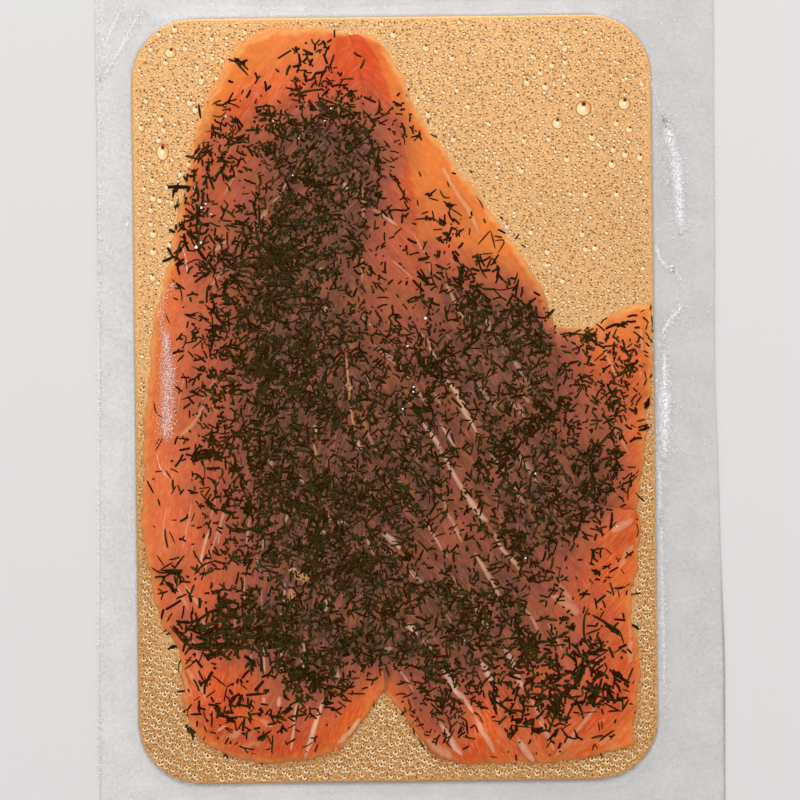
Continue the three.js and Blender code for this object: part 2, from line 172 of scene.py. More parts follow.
# %% Thickness and the height raster
PITCH = 0.5
RASTER_X = np.arange(-90, 90 + PITCH / 2, PITCH)
RASTER_Y = np.arange(-125, 125 + PITCH / 2, PITCH)
GX, GY = np.meshgrid(RASTER_X, RASTER_Y)


def smooth(t):
    """0 below 0, 1 above 1 and an even S between them: three squares less two cubes."""
    c = np.clip(t, 0, 1)
    return c * c * (3 - 2 * c)


def outline(name):
    """The closed outline of a leaf, anticlockwise."""
    c = CHAINS[name]
    return np.concatenate([c["foot"], c["right"][1:], c["head"][::-1][1:], c["left"][::-1][1:-1]])


def inside(name, x, y):
    """Whether each place is inside a leaf, by counting the chords of the outline to its right."""
    loop = outline(name)
    within = np.zeros(np.shape(x), bool)
    for (ax, ay), (bx, by) in zip(loop, np.roll(loop, -1, axis=0)):
        if ay != by:
            within ^= ((ay > y) != (by > y)) & (x < ax + (y - ay) / (by - ay) * (bx - ax))
    return within


def distances(name, x, y):
    """Distances from each place to a leaf's four sides."""
    return [near(CHAINS[name][side], x, y)[0] for side in SIDES]


def thickness(name, x, y, away=None):
    """A leaf's thickness: the thin edge, plus the rest times a quarter sine wave over each side's taper,
    plus a low wave that grows with it, all under a quarter circle at the rim. The upper leaf thins out
    to almost nothing along the seam, where it clings to the leaf under it."""
    leaf = LEAVES[name]
    away = distances(name, x, y) if away is None else away
    grown = np.ones(np.shape(x))
    for side, far in zip(SIDES, away):
        grown = grown * np.sin(np.pi / 2 * np.clip(far / leaf["taper"][side], 0, 1))
    rim = np.sqrt(1 - (1 - np.minimum(1, np.min(away, axis=0) / ROUND_RIM)) ** 2)
    wave = (WAVES["height"] * np.sin(x / WAVES["across"] * 2 * np.pi + 0.6)
            * np.sin(y / WAVES["along"] * 2 * np.pi + 0.3 * x / WAVES["across"]))
    whole = LEAF_RIM + (leaf["thin"] - LEAF_RIM + (leaf["thickness"] - leaf["thin"] + wave) * grown) * rim
    return whole * (0.15 + 0.85 * smooth(away[0] / FEATHER)) if name == "right" else whole


# %% Averages over the raster


def blur(field, size):
    """A bell-shaped average over `size` millimetres, first along the rows and then along the columns."""
    reach = int(np.ceil(3 * size / PITCH))
    bell = np.exp(-0.5 * (np.arange(-reach, reach + 1) * PITCH / size) ** 2)
    bell /= bell.sum()
    for axis in (0, 1):
        padded = np.pad(field, [(reach, reach) if a == axis else (0, 0) for a in (0, 1)], mode="edge")
        field = sum(weight * (padded[k:k + field.shape[0]] if axis == 0 else padded[:, k:k + field.shape[1]])
                    for k, weight in enumerate(bell))
    return field


def drape(field, size, gap):
    """How a soft sheet lies on a field of heights: the average of the field over `size`, lifted until it
    clears the field everywhere by `gap`."""
    sheet = blur(field, size)
    for _ in range(6):
        sheet = blur(np.maximum(sheet, field + gap), size * 0.4)
    return np.maximum(sheet, field + gap * 0.5)


def sample(field, x, y):
    """The raster's value at each place, straight lines between its four neighbours."""
    i = np.clip((np.asarray(x) - RASTER_X[0]) / PITCH, 0, len(RASTER_X) - 1.001)
    j = np.clip((np.asarray(y) - RASTER_Y[0]) / PITCH, 0, len(RASTER_Y) - 1.001)
    i0, j0 = i.astype(int), j.astype(int)
    u, v = i - i0, j - j0
    return ((field[j0, i0] * (1 - u) + field[j0, i0 + 1] * u) * (1 - v)
            + (field[j0 + 1, i0] * (1 - u) + field[j0 + 1, i0 + 1] * u) * v)


# %% The stack of leaves
within, leaf_top = {}, {}
for name in ("corner", "left"):
    within[name] = inside(name, GX, GY)
    leaf_top[name] = np.where(within[name], FISH_FLOOR + thickness(name, GX, GY), FISH_FLOOR)
BENEATH = np.maximum(leaf_top["corner"], leaf_top["left"])
from_seam = near(CHAINS["right"]["left"], GX, GY)[0]
lap = SEAM_GAP + (LAP_CLEARANCE - SEAM_GAP) * smooth(from_seam / FEATHER)
UNDER_RIGHT = np.where(BENEATH > FISH_FLOOR, BENEATH + lap, FISH_FLOOR)
UNDER_RIGHT = np.maximum(drape(UNDER_RIGHT, 1.8, 0.0), UNDER_RIGHT)
within["right"] = inside("right", GX, GY)
leaf_top["right"] = np.where(within["right"], UNDER_RIGHT + thickness("right", GX, GY), FISH_FLOOR)
FISH_TOP = np.maximum(BENEATH, leaf_top["right"])
ON_FISH = within["left"] | within["right"] | within["corner"]
print("the fish is highest at %.2f mm and covers %.0f cm2" % (FISH_TOP.max(), ON_FISH.sum() * PITCH**2 / 100))

# %% [markdown]
# ## From arrays to meshes
#
# Every piece is a surface worked out as whole arrays of points. These helpers put such arrays into a
# mesh, with values on its points for the materials to read, and hand the object to the frame.

# %% Mesh helpers


def build(name, points, faces, values, material):
    """A mesh object from an array of points in millimetres, measured from the board's middle, and an
    array of faces of equal size. `values` are named numbers or triples on the points."""
    points = np.asarray(points, float) + (BOARD["middle_x"], 0, 0)
    faces = np.asarray(faces, np.int32)
    count, sides = faces.shape
    mesh = bpy.data.meshes.new(name)
    mesh.vertices.add(len(points))
    mesh.vertices.foreach_set("co", (points * MM).astype(np.float32).ravel())
    mesh.loops.add(count * sides)
    mesh.loops.foreach_set("vertex_index", faces.ravel())
    mesh.polygons.add(count)
    mesh.polygons.foreach_set("loop_start", np.arange(0, count * sides, sides, dtype=np.int32))
    mesh.polygons.foreach_set("use_smooth", np.ones(count, bool))
    for key, field in values.items():
        field = np.asarray(field, np.float32)
        if field.ndim == 1:
            mesh.attributes.new(key, "FLOAT", "POINT").data.foreach_set("value", field)
        else:
            mesh.attributes.new(key, "FLOAT_VECTOR", "POINT").data.foreach_set("vector", field.ravel())
    mesh.update(calc_edges=True)
    mesh.validate()
    piece = bpy.data.objects.new(name, mesh)
    bpy.context.scene.collection.objects.link(piece)
    mesh.materials.append(material)
    print(f"{name}: {len(points)} points, {count * (sides - 2)} triangles")
    return piece


def hand_over(piece, slot, *nodes):
    """The piece rides on the pack's one body and stands for the CAD nodes named, which are hidden. `slot`
    is not used."""
    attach(piece, "root")
    if nodes:
        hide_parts(*nodes)


# %% Grids and shells


def grid_faces(across, along, start=0, flip=False):
    """Four-sided faces of a grid with `across` by `along` cells, its points numbered row by row."""
    i, j = np.meshgrid(np.arange(across), np.arange(along))
    a = start + j * (across + 1) + i
    quads = np.stack([a, a + 1, a + across + 2, a + across + 1], axis=-1).reshape(-1, 4)
    return quads[:, ::-1] if flip else quads


def grid_rim(across, along):
    """The numbers of a grid's border points, anticlockwise."""
    row = across + 1
    return np.concatenate([np.arange(across), np.arange(along) * row + across,
                           along * row + np.arange(across, 0, -1), np.arange(along, 0, -1) * row])


def two_sheets(upper, lower, across, along):
    """Points and faces of a closed shell: an upper and a lower grid and a wall between their borders."""
    count = (across + 1) * (along + 1)
    rim = grid_rim(across, along)
    onward = np.roll(rim, -1)
    wall = np.stack([rim + count, onward + count, onward, rim], axis=-1)
    faces = np.concatenate([grid_faces(across, along), grid_faces(across, along, count, flip=True), wall])
    return np.concatenate([upper, lower]), faces


# %% [markdown]
# ## Wiring materials
#
# A material is a small network. This helper shortens the wiring: each of its methods adds a node and
# gives back the node's output, and an input may be a number, a colour or another output.

# %% Node helper


def colour(red, green, blue):
    """A colour from the 0 to 255 values of a screen, as the light values that shaders use."""
    c = np.array([red, green, blue]) / 255
    return tuple(float(v) for v in np.where(c <= 0.04045, c / 12.92, ((c + 0.055) / 1.055) ** 2.4))


class Wiring:
    """Adds nodes to one node tree."""

    def __init__(self, tree):
        self.tree = tree

    def node(self, kind, outputs=0, inputs=None, **settings):
        """A node of a kind, with its settings, its inputs filled, and its output given back."""
        node = self.tree.nodes.new(kind)
        for key, value in settings.items():
            setattr(node, key, value)
        for key, value in (inputs or {}).items():
            self.fill(node.inputs[key], value)
        return node if outputs is None else node.outputs[outputs]

    def fill(self, socket, value):
        """Links an output to a socket, or sets the socket's own number or screen colour."""
        if isinstance(value, bpy.types.NodeSocket):
            self.tree.links.new(value, socket)
        elif value is not None:
            socket.default_value = (*colour(*value), 1) if socket.type == "RGBA" else value

    def math(self, operation, a, b=None, clamp=False):
        """One sum on numbers."""
        return self.node("ShaderNodeMath", inputs={0: a, 1: b}, operation=operation, use_clamp=clamp)

    def fold(self, operation, terms, clamp):
        """A sum on several numbers, worked out two by two from the left."""
        total = terms[0]
        for number, term in enumerate(terms[1:], 2):
            total = self.math(operation, total, term, clamp and number == len(terms))
        return total

    def plus(self, *terms, clamp=False):
        """Numbers added up."""
        return self.fold("ADD", terms, clamp)

    def times(self, *terms, clamp=False):
        """Numbers multiplied."""
        return self.fold("MULTIPLY", terms, clamp)

    def less(self, *terms):
        """A number less the others."""
        return self.fold("SUBTRACT", terms, False)

    def mix(self, share, a, b):
        """Two colours mixed by a share from 0 to 1."""
        return self.node("ShaderNodeMix", 2, {0: share, 6: a, 7: b}, data_type="RGBA")

    def over(self, base, mask, amount, tint):
        """A colour with a tint laid over it, as much as a mask times an amount says."""
        return self.mix(self.times(mask, amount), base, tint)

    def span(self, value, low, high, to_low=0.0, to_high=1.0):
        """A value carried smoothly from one range to another, and kept inside it."""
        return self.node("ShaderNodeMapRange", inputs={0: value, 1: low, 2: high, 3: to_low, 4: to_high},
                         interpolation_type="SMOOTHSTEP")

    def noise(self, place, scale, detail=2.0, rough=0.5):
        """Cloudy noise at a scale per metre."""
        return self.node("ShaderNodeTexNoise",
                         inputs={"Vector": place, "Scale": scale, "Detail": detail, "Roughness": rough})

    def wander(self, noise, amount):
        """A noise as a number that swings to both sides of 0."""
        return self.times(self.less(noise, 0.5), amount)

    def attribute(self, name, output=2):
        """A value on the points of the mesh."""
        return self.node("ShaderNodeAttribute", output, attribute_name=name)

    def here(self):
        """The place on the object, in metres."""
        return self.node("ShaderNodeTexCoord", 3)

    def part(self, triple, number):
        """One of the three numbers of a place: 0 is x, 1 is y and 2 is z."""
        return self.node("ShaderNodeSeparateXYZ", number, {0: triple})

    def bump(self, height, strength, distance):
        """A normal tilted by a height."""
        return self.node("ShaderNodeBump",
                         inputs={"Height": height, "Strength": strength, "Distance": distance})

    def principled(self, inputs):
        """A Principled shader with its inputs filled."""
        return self.node("ShaderNodeBsdfPrincipled", inputs=inputs)

    def sheer(self, share, shader):
        """A shader that shows by a share and for the rest lets the light straight through."""
        return self.node("ShaderNodeMixShader",
                         inputs={0: share, 1: self.node("ShaderNodeBsdfTransparent"), 2: shader})

    def surface(self, shader):
        """Ends the material in a shader."""
        self.node("ShaderNodeOutputMaterial", None, {"Surface": shader})


def material(name):
    """A new empty material and its wiring."""
    made = bpy.data.materials.new(name)
    made.use_nodes = True
    made.node_tree.nodes.clear()
    return made, Wiring(made.node_tree)


# %% [markdown]
# ## Mottle, an effect that several finishes share
#
# Nothing in a food pack has one even colour: foil, flesh and herb all drift lighter and darker over a
# few millimetres and carry finer specks. One node group does that for all of them: it multiplies a
# colour by broad and fine noise, and each material places it with its own amounts and scales.

# %% The mottle group
MOTTLE = bpy.data.node_groups.new("mottle", "ShaderNodeTree")
MOTTLE.interface.new_socket("Color", in_out="INPUT", socket_type="NodeSocketColor")
for label, value in {"Broad": 0.1, "Fine": 0.1, "Broad scale": 60.0, "Fine scale": 600.0}.items():
    MOTTLE.interface.new_socket(label, in_out="INPUT", socket_type="NodeSocketFloat").default_value = value
MOTTLE.interface.new_socket("Color", in_out="OUTPUT", socket_type="NodeSocketColor")
w = Wiring(MOTTLE)
given = w.node("NodeGroupInput", None).outputs
place = w.here()
broad = w.noise(place, given["Broad scale"], 2)
fine = w.noise(place, given["Fine scale"], 3)
swing = w.plus(w.wander(broad, given["Broad"]), w.wander(fine, given["Fine"]))
factor = w.plus(1.0, w.times(swing, 2.0))
scaled = w.node("ShaderNodeVectorMath", inputs={0: given["Color"], 1: factor}, operation="MULTIPLY")
w.node("NodeGroupOutput", None, {"Color": scaled})
print("group:", MOTTLE.name)


def mottle(wiring, base, broad, fine, broad_scale, fine_scale):
    """A colour sent through the mottle group, placed in a material with its own values."""
    inputs = {"Color": base, "Broad": broad, "Fine": fine, "Broad scale": broad_scale, "Fine scale": fine_scale}
    return wiring.node("ShaderNodeGroup", "Color", inputs, node_tree=MOTTLE)


# %% [markdown]
# ## The gold board
#
# The board is paper card with gold foil laminated to its upper face. It could stay the plain CAD plate,
# but foil is never quite flat: it has low waves and a rolled cut edge, and both catch the light. So its
# outline is carried inwards ring by ring, and a low wave is added to the height.

# %% The board's shape


def rounded_loop(half_width, half_length, radius, corner_steps=14, long_steps=70, short_steps=44):
    """A round-cornered rectangle as a closed chain of points, anticlockwise: quarter circles joined by
    straight runs, always with the same number of steps, so that two of them pair up."""
    angle = np.linspace(0, np.pi / 2, corner_steps + 1)
    arcs = []
    for k, (sx, sy) in enumerate([(1, 1), (-1, 1), (-1, -1), (1, -1)]):
        turn = angle + k * np.pi / 2
        arcs.append(np.stack([sx * (half_width - radius) + radius * np.cos(turn),
                              sy * (half_length - radius) + radius * np.sin(turn)], axis=-1))
    loop = []
    for k in range(4):
        steps = short_steps if k % 2 == 0 else long_steps
        t = np.linspace(0, 1, steps + 1)[1:-1, None]
        loop += [arcs[k], arcs[k][-1] * (1 - t) + arcs[(k + 1) % 4][0] * t]
    return np.concatenate(loop)


def board_wave(x, y):
    """The foil's low waves: two crossed sine waves of a few hundredths of a millimetre."""
    return (0.022 * np.sin(x / 9.5 + 0.6 * np.sin(y / 21)) * np.sin(y / 13 + 1.1)
            + 0.016 * np.sin(y / 5.2 + x / 17))


def rings(loops, heights):
    """A closed skin from loops of equal length stacked in order, with a middle point at both ends."""
    n = len(loops[0])
    points = [np.column_stack([loop, np.broadcast_to(height, n)]) for loop, height in zip(loops, heights)]
    points = np.concatenate(points + [np.mean(points[0], axis=0)[None], np.mean(points[-1], axis=0)[None]])
    i = np.arange(n)
    j = (i + 1) % n
    band = np.concatenate([np.stack([k * n + i, k * n + j, (k + 1) * n + j], -1) for k in range(len(loops) - 1)]
                          + [np.stack([k * n + i, (k + 1) * n + j, (k + 1) * n + i], -1)
                             for k in range(len(loops) - 1)])
    first, last = len(points) - 2, len(points) - 1
    caps = [np.stack([np.full(n, first), j, i], -1),
            np.stack([np.full(n, last), (len(loops) - 1) * n + i, (len(loops) - 1) * n + j], -1)]
    return points, np.concatenate([band] + caps)


# %% The board's rings
half_w, half_l, radius, bevel = BOARD["width"] / 2, BOARD["length"] / 2, BOARD["corner"], BOARD["bevel"]
EDGE_STEPS, TOP_RINGS, SETTLING = 7, 61, 30
edge_loop = rounded_loop(half_w, half_l, radius)
loops, heights = [], []
for share in (0.25, 0.5, 0.75, 0.95):
    loops.append(edge_loop * share)
    heights.append(BOARD_FLOOR)
for angle in np.linspace(-np.pi / 2, np.pi / 2, EDGE_STEPS):
    inset = bevel * (1 - np.cos(angle))
    loops.append(rounded_loop(half_w - inset, half_l - inset, radius - inset))
    middle = (BOARD_FLOOR + bevel) if angle < 0 else (BOARD_TOP - bevel)
    heights.append(middle + bevel * np.sin(angle))
for share in 1 - np.linspace(0.006, 1, TOP_RINGS + 1)[:-1]:
    loops.append(edge_loop * share)
    heights.append(BOARD_TOP + board_wave(*loops[-1].T) * smooth((1 - share) * SETTLING))
board_points, board_faces = rings(loops, heights)
BOARD_HEIGHT = BOARD_TOP + board_wave(GX, GY)
print("the foil's waves reach %.3f mm" % np.abs(BOARD_HEIGHT - BOARD_TOP).max())


def past_arcs(x, y):
    """How far each place lies beyond the board's straight runs, across and along: both are above 0 only
    in its corners."""
    return np.maximum(np.abs(x) - half_w + radius, 0), np.maximum(np.abs(y) - half_l + radius, 0)


# %% [markdown]
# ## The gold finish
#
# Satin foil reflects whatever is over it in its own warm colour, so it is a metal with a middling
# roughness. Under the film it is wet: a fine fog of droplets, too small to model one by one, breaks the
# reflection up into pale and brown specks. That fog is a fine noise that tilts the normal and paints the
# specks into the colour, as painted highlights and painted dark reflections. Along the lower end and
# low on both sides more brine has gathered and the gold is browner. At the upper left of the fish its
# oil has crept out and tints the foil orange.

# %% Gold material
gold, w = material("gold_foil")
place = w.here()
x_of, y_of = w.part(place, 0), w.part(place, 1)
low_end = w.span(y_of, -0.055, -0.085)
right_side = w.times(w.span(x_of, 0.055, 0.064), w.span(y_of, 0.03, 0.0))
left_side = w.times(w.span(x_of, -0.064, -0.071), w.span(y_of, 0.02, -0.03))
wet = w.math("MAXIMUM", low_end, w.math("MAXIMUM", right_side, left_side))
# Painted shade: the dry gold is a little darker towards the head and the right, to even out the lamp's stronger
# light there.
painted_shade_to_head = w.span(w.plus(y_of, w.times(x_of, 0.35)), -0.08, 0.10)
dry_gold = w.mix(painted_shade_to_head, (230, 176, 115), (219, 168, 112))
base = w.over(dry_gold, wet, 0.9, (206, 147, 88))
# Painted highlights and painted dark reflections of the droplet fog, laid into the gold's colour.
specks = w.noise(place, 1900, 1)
dark_share = w.plus(0.55, w.times(wet, 0.35))
dark_speck = w.mix(wet, (180, 124, 72), (118, 68, 30))
speckled = w.over(base, w.span(specks, 0.52, 0.66), dark_share, dark_speck)
speckled = w.over(speckled, w.span(specks, 0.47, 0.32), 0.5, (255, 232, 176))
patches = w.span(w.noise(place, 420, 3), 0.35, 0.6, 0.55, 1.0)
oiled = w.over(speckled, w.attribute("oil"), patches, (232, 140, 70))
mottled = mottle(w, oiled, 0.06, 0.12, 45.0, 900.0)
rim_band = w.span(w.attribute("rim"), 0.0009, 0.0003)
rimmed = w.over(mottled, rim_band, 0.5, (206, 158, 88))
w.surface(w.principled({"Base Color": rimmed, "Metallic": 0.85, "Roughness": 0.42,
                        "Normal": w.bump(specks, 0.25, 0.0001)}))

# %% The board's values
board_x, board_y, board_z = board_points.T
round_x, round_y = past_arcs(board_x, board_y)
from_rim = np.minimum(half_l - np.abs(board_y), half_w - np.abs(board_x))
in_corner = round_x * round_y > 0
from_rim = np.where(in_corner, np.minimum(from_rim, radius - np.hypot(round_x, round_y)), from_rim)
NEAR_FISH = blur(ON_FISH.astype(float), 1.7) * smooth((GY - 48) / 30) * smooth((-GX - 18) / 12)
oil = np.where(board_z > BOARD_TOP - 0.3, sample(NEAR_FISH, board_x, board_y), 0)
board_values = {"rim": from_rim * MM, "oil": np.minimum(oil * 2, 1)}
hand_over(build("board_foil", board_points, board_faces, board_values, gold), "gold_card", "board")

# %% [markdown]
# ## Where the dill lies
#
# The dill is chopped and strewn by hand. It lies in drifts: dense over the thick left side and along
# the edge of the upper leaf, thin on the rims. Each drift is a soft bell with a place, a width, a
# length and an amount. Their sum is how many layers of dill lie at a place, and the same sum says how
# far the herb and its juice have stained the flesh under it, and how much shade is painted there.

# %% Drifts of dill
DRIFTS = [
    # the left side, from the head down: x, y, half width, half length, layers
    (-20, 92, 5, 5, .35), (-17, 80, 9, 6, .9), (-15, 66, 10, 9, 1.5), (-34, 70, 11, 8, 1.0),
    (-18, 50, 10, 13, 1.3), (-33, 38, 10, 14, 1.6), (-29, 12, 14, 18, 2.1), (-32, -8, 14, 14, 1.4),
    (-20, -31, 16, 11, 2.7), (-15, -46, 9, 7, 1.6), (-33, -62, 14, 7, 1.8), (-12, -62, 14, 7, 1.8),
    (-36, -46, 12, 9, .6), (-24, -74, 7, 6, 1.8), (-24, -60, 10, 7, .6),
    # the left rim
    (-52, 53, 5, 13, .45), (-47, 70, 4, 8, .3), (-60, -47, 3, 4, .3), (-52, -62, 7, 5, .4),
    (-44, -84, 9, 10, .22), (-30, -84, 9, 7, .4), (-48, 5, 7, 45, .17),
    # the middle
    (4, 8, 14, 18, .5), (4, -18, 18, 16, .8), (-4, -6, 7, 10, .3), (8, -52, 22, 9, .6), (6, -70, 10, 7, .7),
    (8, 47, 9, 8, .15),
    # the right leaf and the corner piece
    (18, 28, 9, 8, .5), (29, 17, 10, 8, 1.0), (22, 9, 8, 6, .8), (40, 4, 7, 18, .9), (26, -5, 5, 7, .8),
    (49, -20, 12, 7, .9), (38, -34, 10, 10, .9), (50, -30, 8, 6, .4), (57, 6, 9, 14, .6), (17, -54, 9, 5, .8),
    (16, -70, 12, 7, .7), (42, -71, 16, 10, .45), (40, -82, 16, 6, .4), (26, -60, 12, 8, .25),
    (57, 13, 8, 8, .45), (60, -4, 6, 8, .3), (12, -85, 9, 6, .8), (57, -52, 9, 9, .1), (23, -88, 3, 6, -.5),
    (29, -28, 9, 24, .35), (3, 74, 4, 9, .14), (20, 52, 8, 8, .08), (30, -70, 9, 8, .3), (34, -90, 18, 5, .12),
]
FRESH = [  # x, y, half width, half length, share of the stain and painted shade that is missing
    (62, 15, 12, 16, .75), (66, -12, 8, 14, .5), (54, 12, 8, 8, .3), (58, -46, 9, 12, .5),
    (44, -80, 20, 12, .4), (20, -84, 12, 8, .3), (-42, -82, 16, 10, .5), (-48, 0, 8, 40, .3),
    (-52, -60, 8, 14, .4), (12, 58, 10, 14, .3), (-44, 72, 10, 16, .35), (24, 42, 10, 10, .25),
    (-20, 86, 10, 6, .3),
]


def bells(places, x, y, wider=1.0):
    """The sum of soft bells: each an amount times a bell with its own place, half width and half
    length."""
    total = np.zeros(np.shape(x))
    for cx, cy, rx, ry, amount in places:
        total += amount * np.exp(-((x - cx) / (rx * wider)) ** 2 - ((y - cy) / (ry * wider)) ** 2)
    return total


def layers(x, y, wider=1.0):
    """How many layers of dill lie at each place: the sum of the drifts, never less than none."""
    return np.maximum(bells(DRIFTS, x, y, wider), 0)


print("dill: %.0f mm2 of layers" % (layers(GX, GY)[ON_FISH].sum() * PITCH**2))

# %% [markdown]
# ## The leaves of fish
#
# Each leaf is one closed skin. Its upper face is a patch stretched between the four sides of its
# outline, with the leaf's thickness added to what it lies on; its lower face follows what is under it.
# The flesh of a salmon is a stack of muscle sheets with thin fat between them, and a slice shows the
# sheets as rows of curved lines. They run along the fish, so they can't be a plain stripe pattern: each
# point of the mesh gets a line number that stays the same along a line and grows across the lines, and
# the material draws fibres and sheets out along places of equal number.

# %% The run of the fat lines
DOWN_THE_FISH = np.linspace(-130, 130, 261)
RIDGE = ([-98, -94, -60, -27, 10, 40], [41, 42, 49.5, 55, 60, 64])  # y, and x of the ridge there
SLOPE = ([-100, -60, -20, 20, 50, 90], [2.0, 1.9, 1.6, 1.45, 1.05, 1.0])
LEAN = ([-95, -85, -60, -30, 7, 43, 80], [0.5, 0.36, 0.12, 0.2, 0.33, 0.59, 0.7])
RIGHT_GAP, LEFT_GAP = 14.6, 9.6


def right_phase(x, y):
    """Line number on the right-hand leaves. Lines fall to the right, steeper towards the foot: x plus
    the sum of 1/slope along y is the same all along one. Beyond the ridge where the two halves of the
    muscle meet, they climb again."""
    beyond = np.maximum(x - np.interp(y, *RIDGE), 0)
    level = y - 1.5 * beyond
    run = np.interp(level, DOWN_THE_FISH, np.cumsum(1 / np.interp(DOWN_THE_FISH, *SLOPE)))
    return (np.where(beyond > 0, np.interp(level, *RIDGE), x) + run) / RIGHT_GAP


def left_phase(x, y):
    """Line number on the left-hand leaf: lines lean to the right as they climb, x less the sum of the
    lean along y being the same all along one."""
    return (x - np.interp(y, DOWN_THE_FISH, np.cumsum(np.interp(DOWN_THE_FISH, *LEAN)))) / LEFT_GAP


PHASES = {"left": left_phase, "right": right_phase, "corner": right_phase}

# %% Shapes of the leaves
FINE = {"corner": (80, 90), "left": (130, 300), "right": (140, 300)}
LOWER_FISH = within["left"] | within["corner"]
ON_LOWER = blur(LOWER_FISH.astype(float), 0.8)


def ragged(x, y, rim):
    """A hand-cut edge wanders a little: three sine waves of different lengths along each direction, half
    a millimetre high at the rim and fading out six millimetres in."""
    fade = 1 - smooth(rim / 6)
    aside = 0.16 * np.sin(y / 0.57 + 2 * np.sin(x / 3.1)) + 0.24 * np.sin(y / 1.5 + 1.3) + 0.3 * np.sin(y / 4.3)
    along = 0.16 * np.sin(x / 0.61 + 2 * np.sin(y / 3.7)) + 0.24 * np.sin(x / 1.7 + 0.4) + 0.3 * np.sin(x / 4.9)
    return x + fade * aside, y + fade * along


def leaf_face(name, x, y):
    """What a leaf is like at each place: the height of its top and of what it rests on, and the values
    that its material reads. A fine ripple, a sine wave of the line number, follows the muscle."""
    away = distances(name, x, y)
    rim = np.min(away, axis=0)
    rests = sample(UNDER_RIGHT, x, y) if name == "right" else np.full(np.shape(x), float(FISH_FLOOR))
    deep = thickness(name, x, y, away)
    phase = PHASES[name](x, y)
    ripple = np.sin(phase * 2 * np.pi * 5 + 1.3 * np.sin(y / 6)) * 0.02 * smooth(rim / 4)
    covers = smooth(sample(ON_LOWER, x, y)) * 10 if name == "right" else 0
    deeply = 1.25 + 0.85 * smooth((x + 40) / 34) * smooth((y + 84) / 30)
    # The brown under the dill: partly the juice's stain, partly painted shade of the dill.
    stain_and_shade = (1 - np.exp(-deeply * layers(x, y, 1.25))) * (1 - np.minimum(bells(FRESH, x, y), 0.8))
    return rests + deep + ripple, rests, {"line": phase, "rim": (rim + covers) * MM, "deep": deep + covers,
                                          "stain_and_shade": stain_and_shade}


def leaf_skin(name):
    """Points, faces and values of a leaf. A place on it is the blend of its four sides: across between
    left and right, plus along between foot and head, less the blend of the four corners."""
    across, along = FINE[name]
    sides = LEAVES[name]

    def finer(n):
        """Shares from 0 to 1 in `n` steps of a cosine, so that they lie closer together near both ends."""
        share = np.linspace(0, 1, n + 1)
        return 0.5 - 0.5 * np.cos(np.pi * share) * (1 - 0.28 * np.sin(np.pi * share) ** 2)

    u, v = finer(across), finer(along)
    left, right = even(sides["left"], v)[:, None], even(sides["right"], v)[:, None]
    foot, head = even(sides["foot"], u)[None], even(sides["head"], u)[None]
    u, v = u[None, :, None], v[:, None, None]
    corners = ((1 - u) * (1 - v) * foot[:, :1] + u * (1 - v) * foot[:, -1:]
               + (1 - u) * v * head[:, :1] + u * v * head[:, -1:])
    spots = ((1 - u) * left + u * right + (1 - v) * foot + v * head - corners).reshape(-1, 2)
    x, y = spots.T
    top, rests, values = leaf_face(name, x, y)
    x, y = ragged(x, y, np.min(distances(name, x, y), axis=0))
    upper = np.column_stack([x, y, top])
    lower = np.column_stack([x, y, np.where(rests > FISH_FLOOR + 0.05, rests - 0.02, rests)])
    points, faces = two_sheets(upper, lower, across, along)
    values.update(vein=np.zeros(len(x)), tint=np.zeros(len(x)))
    return points, faces, {key: np.concatenate([field, field]) for key, field in values.items()}


SKINS = {name: leaf_skin(name) for name in LEAVES}
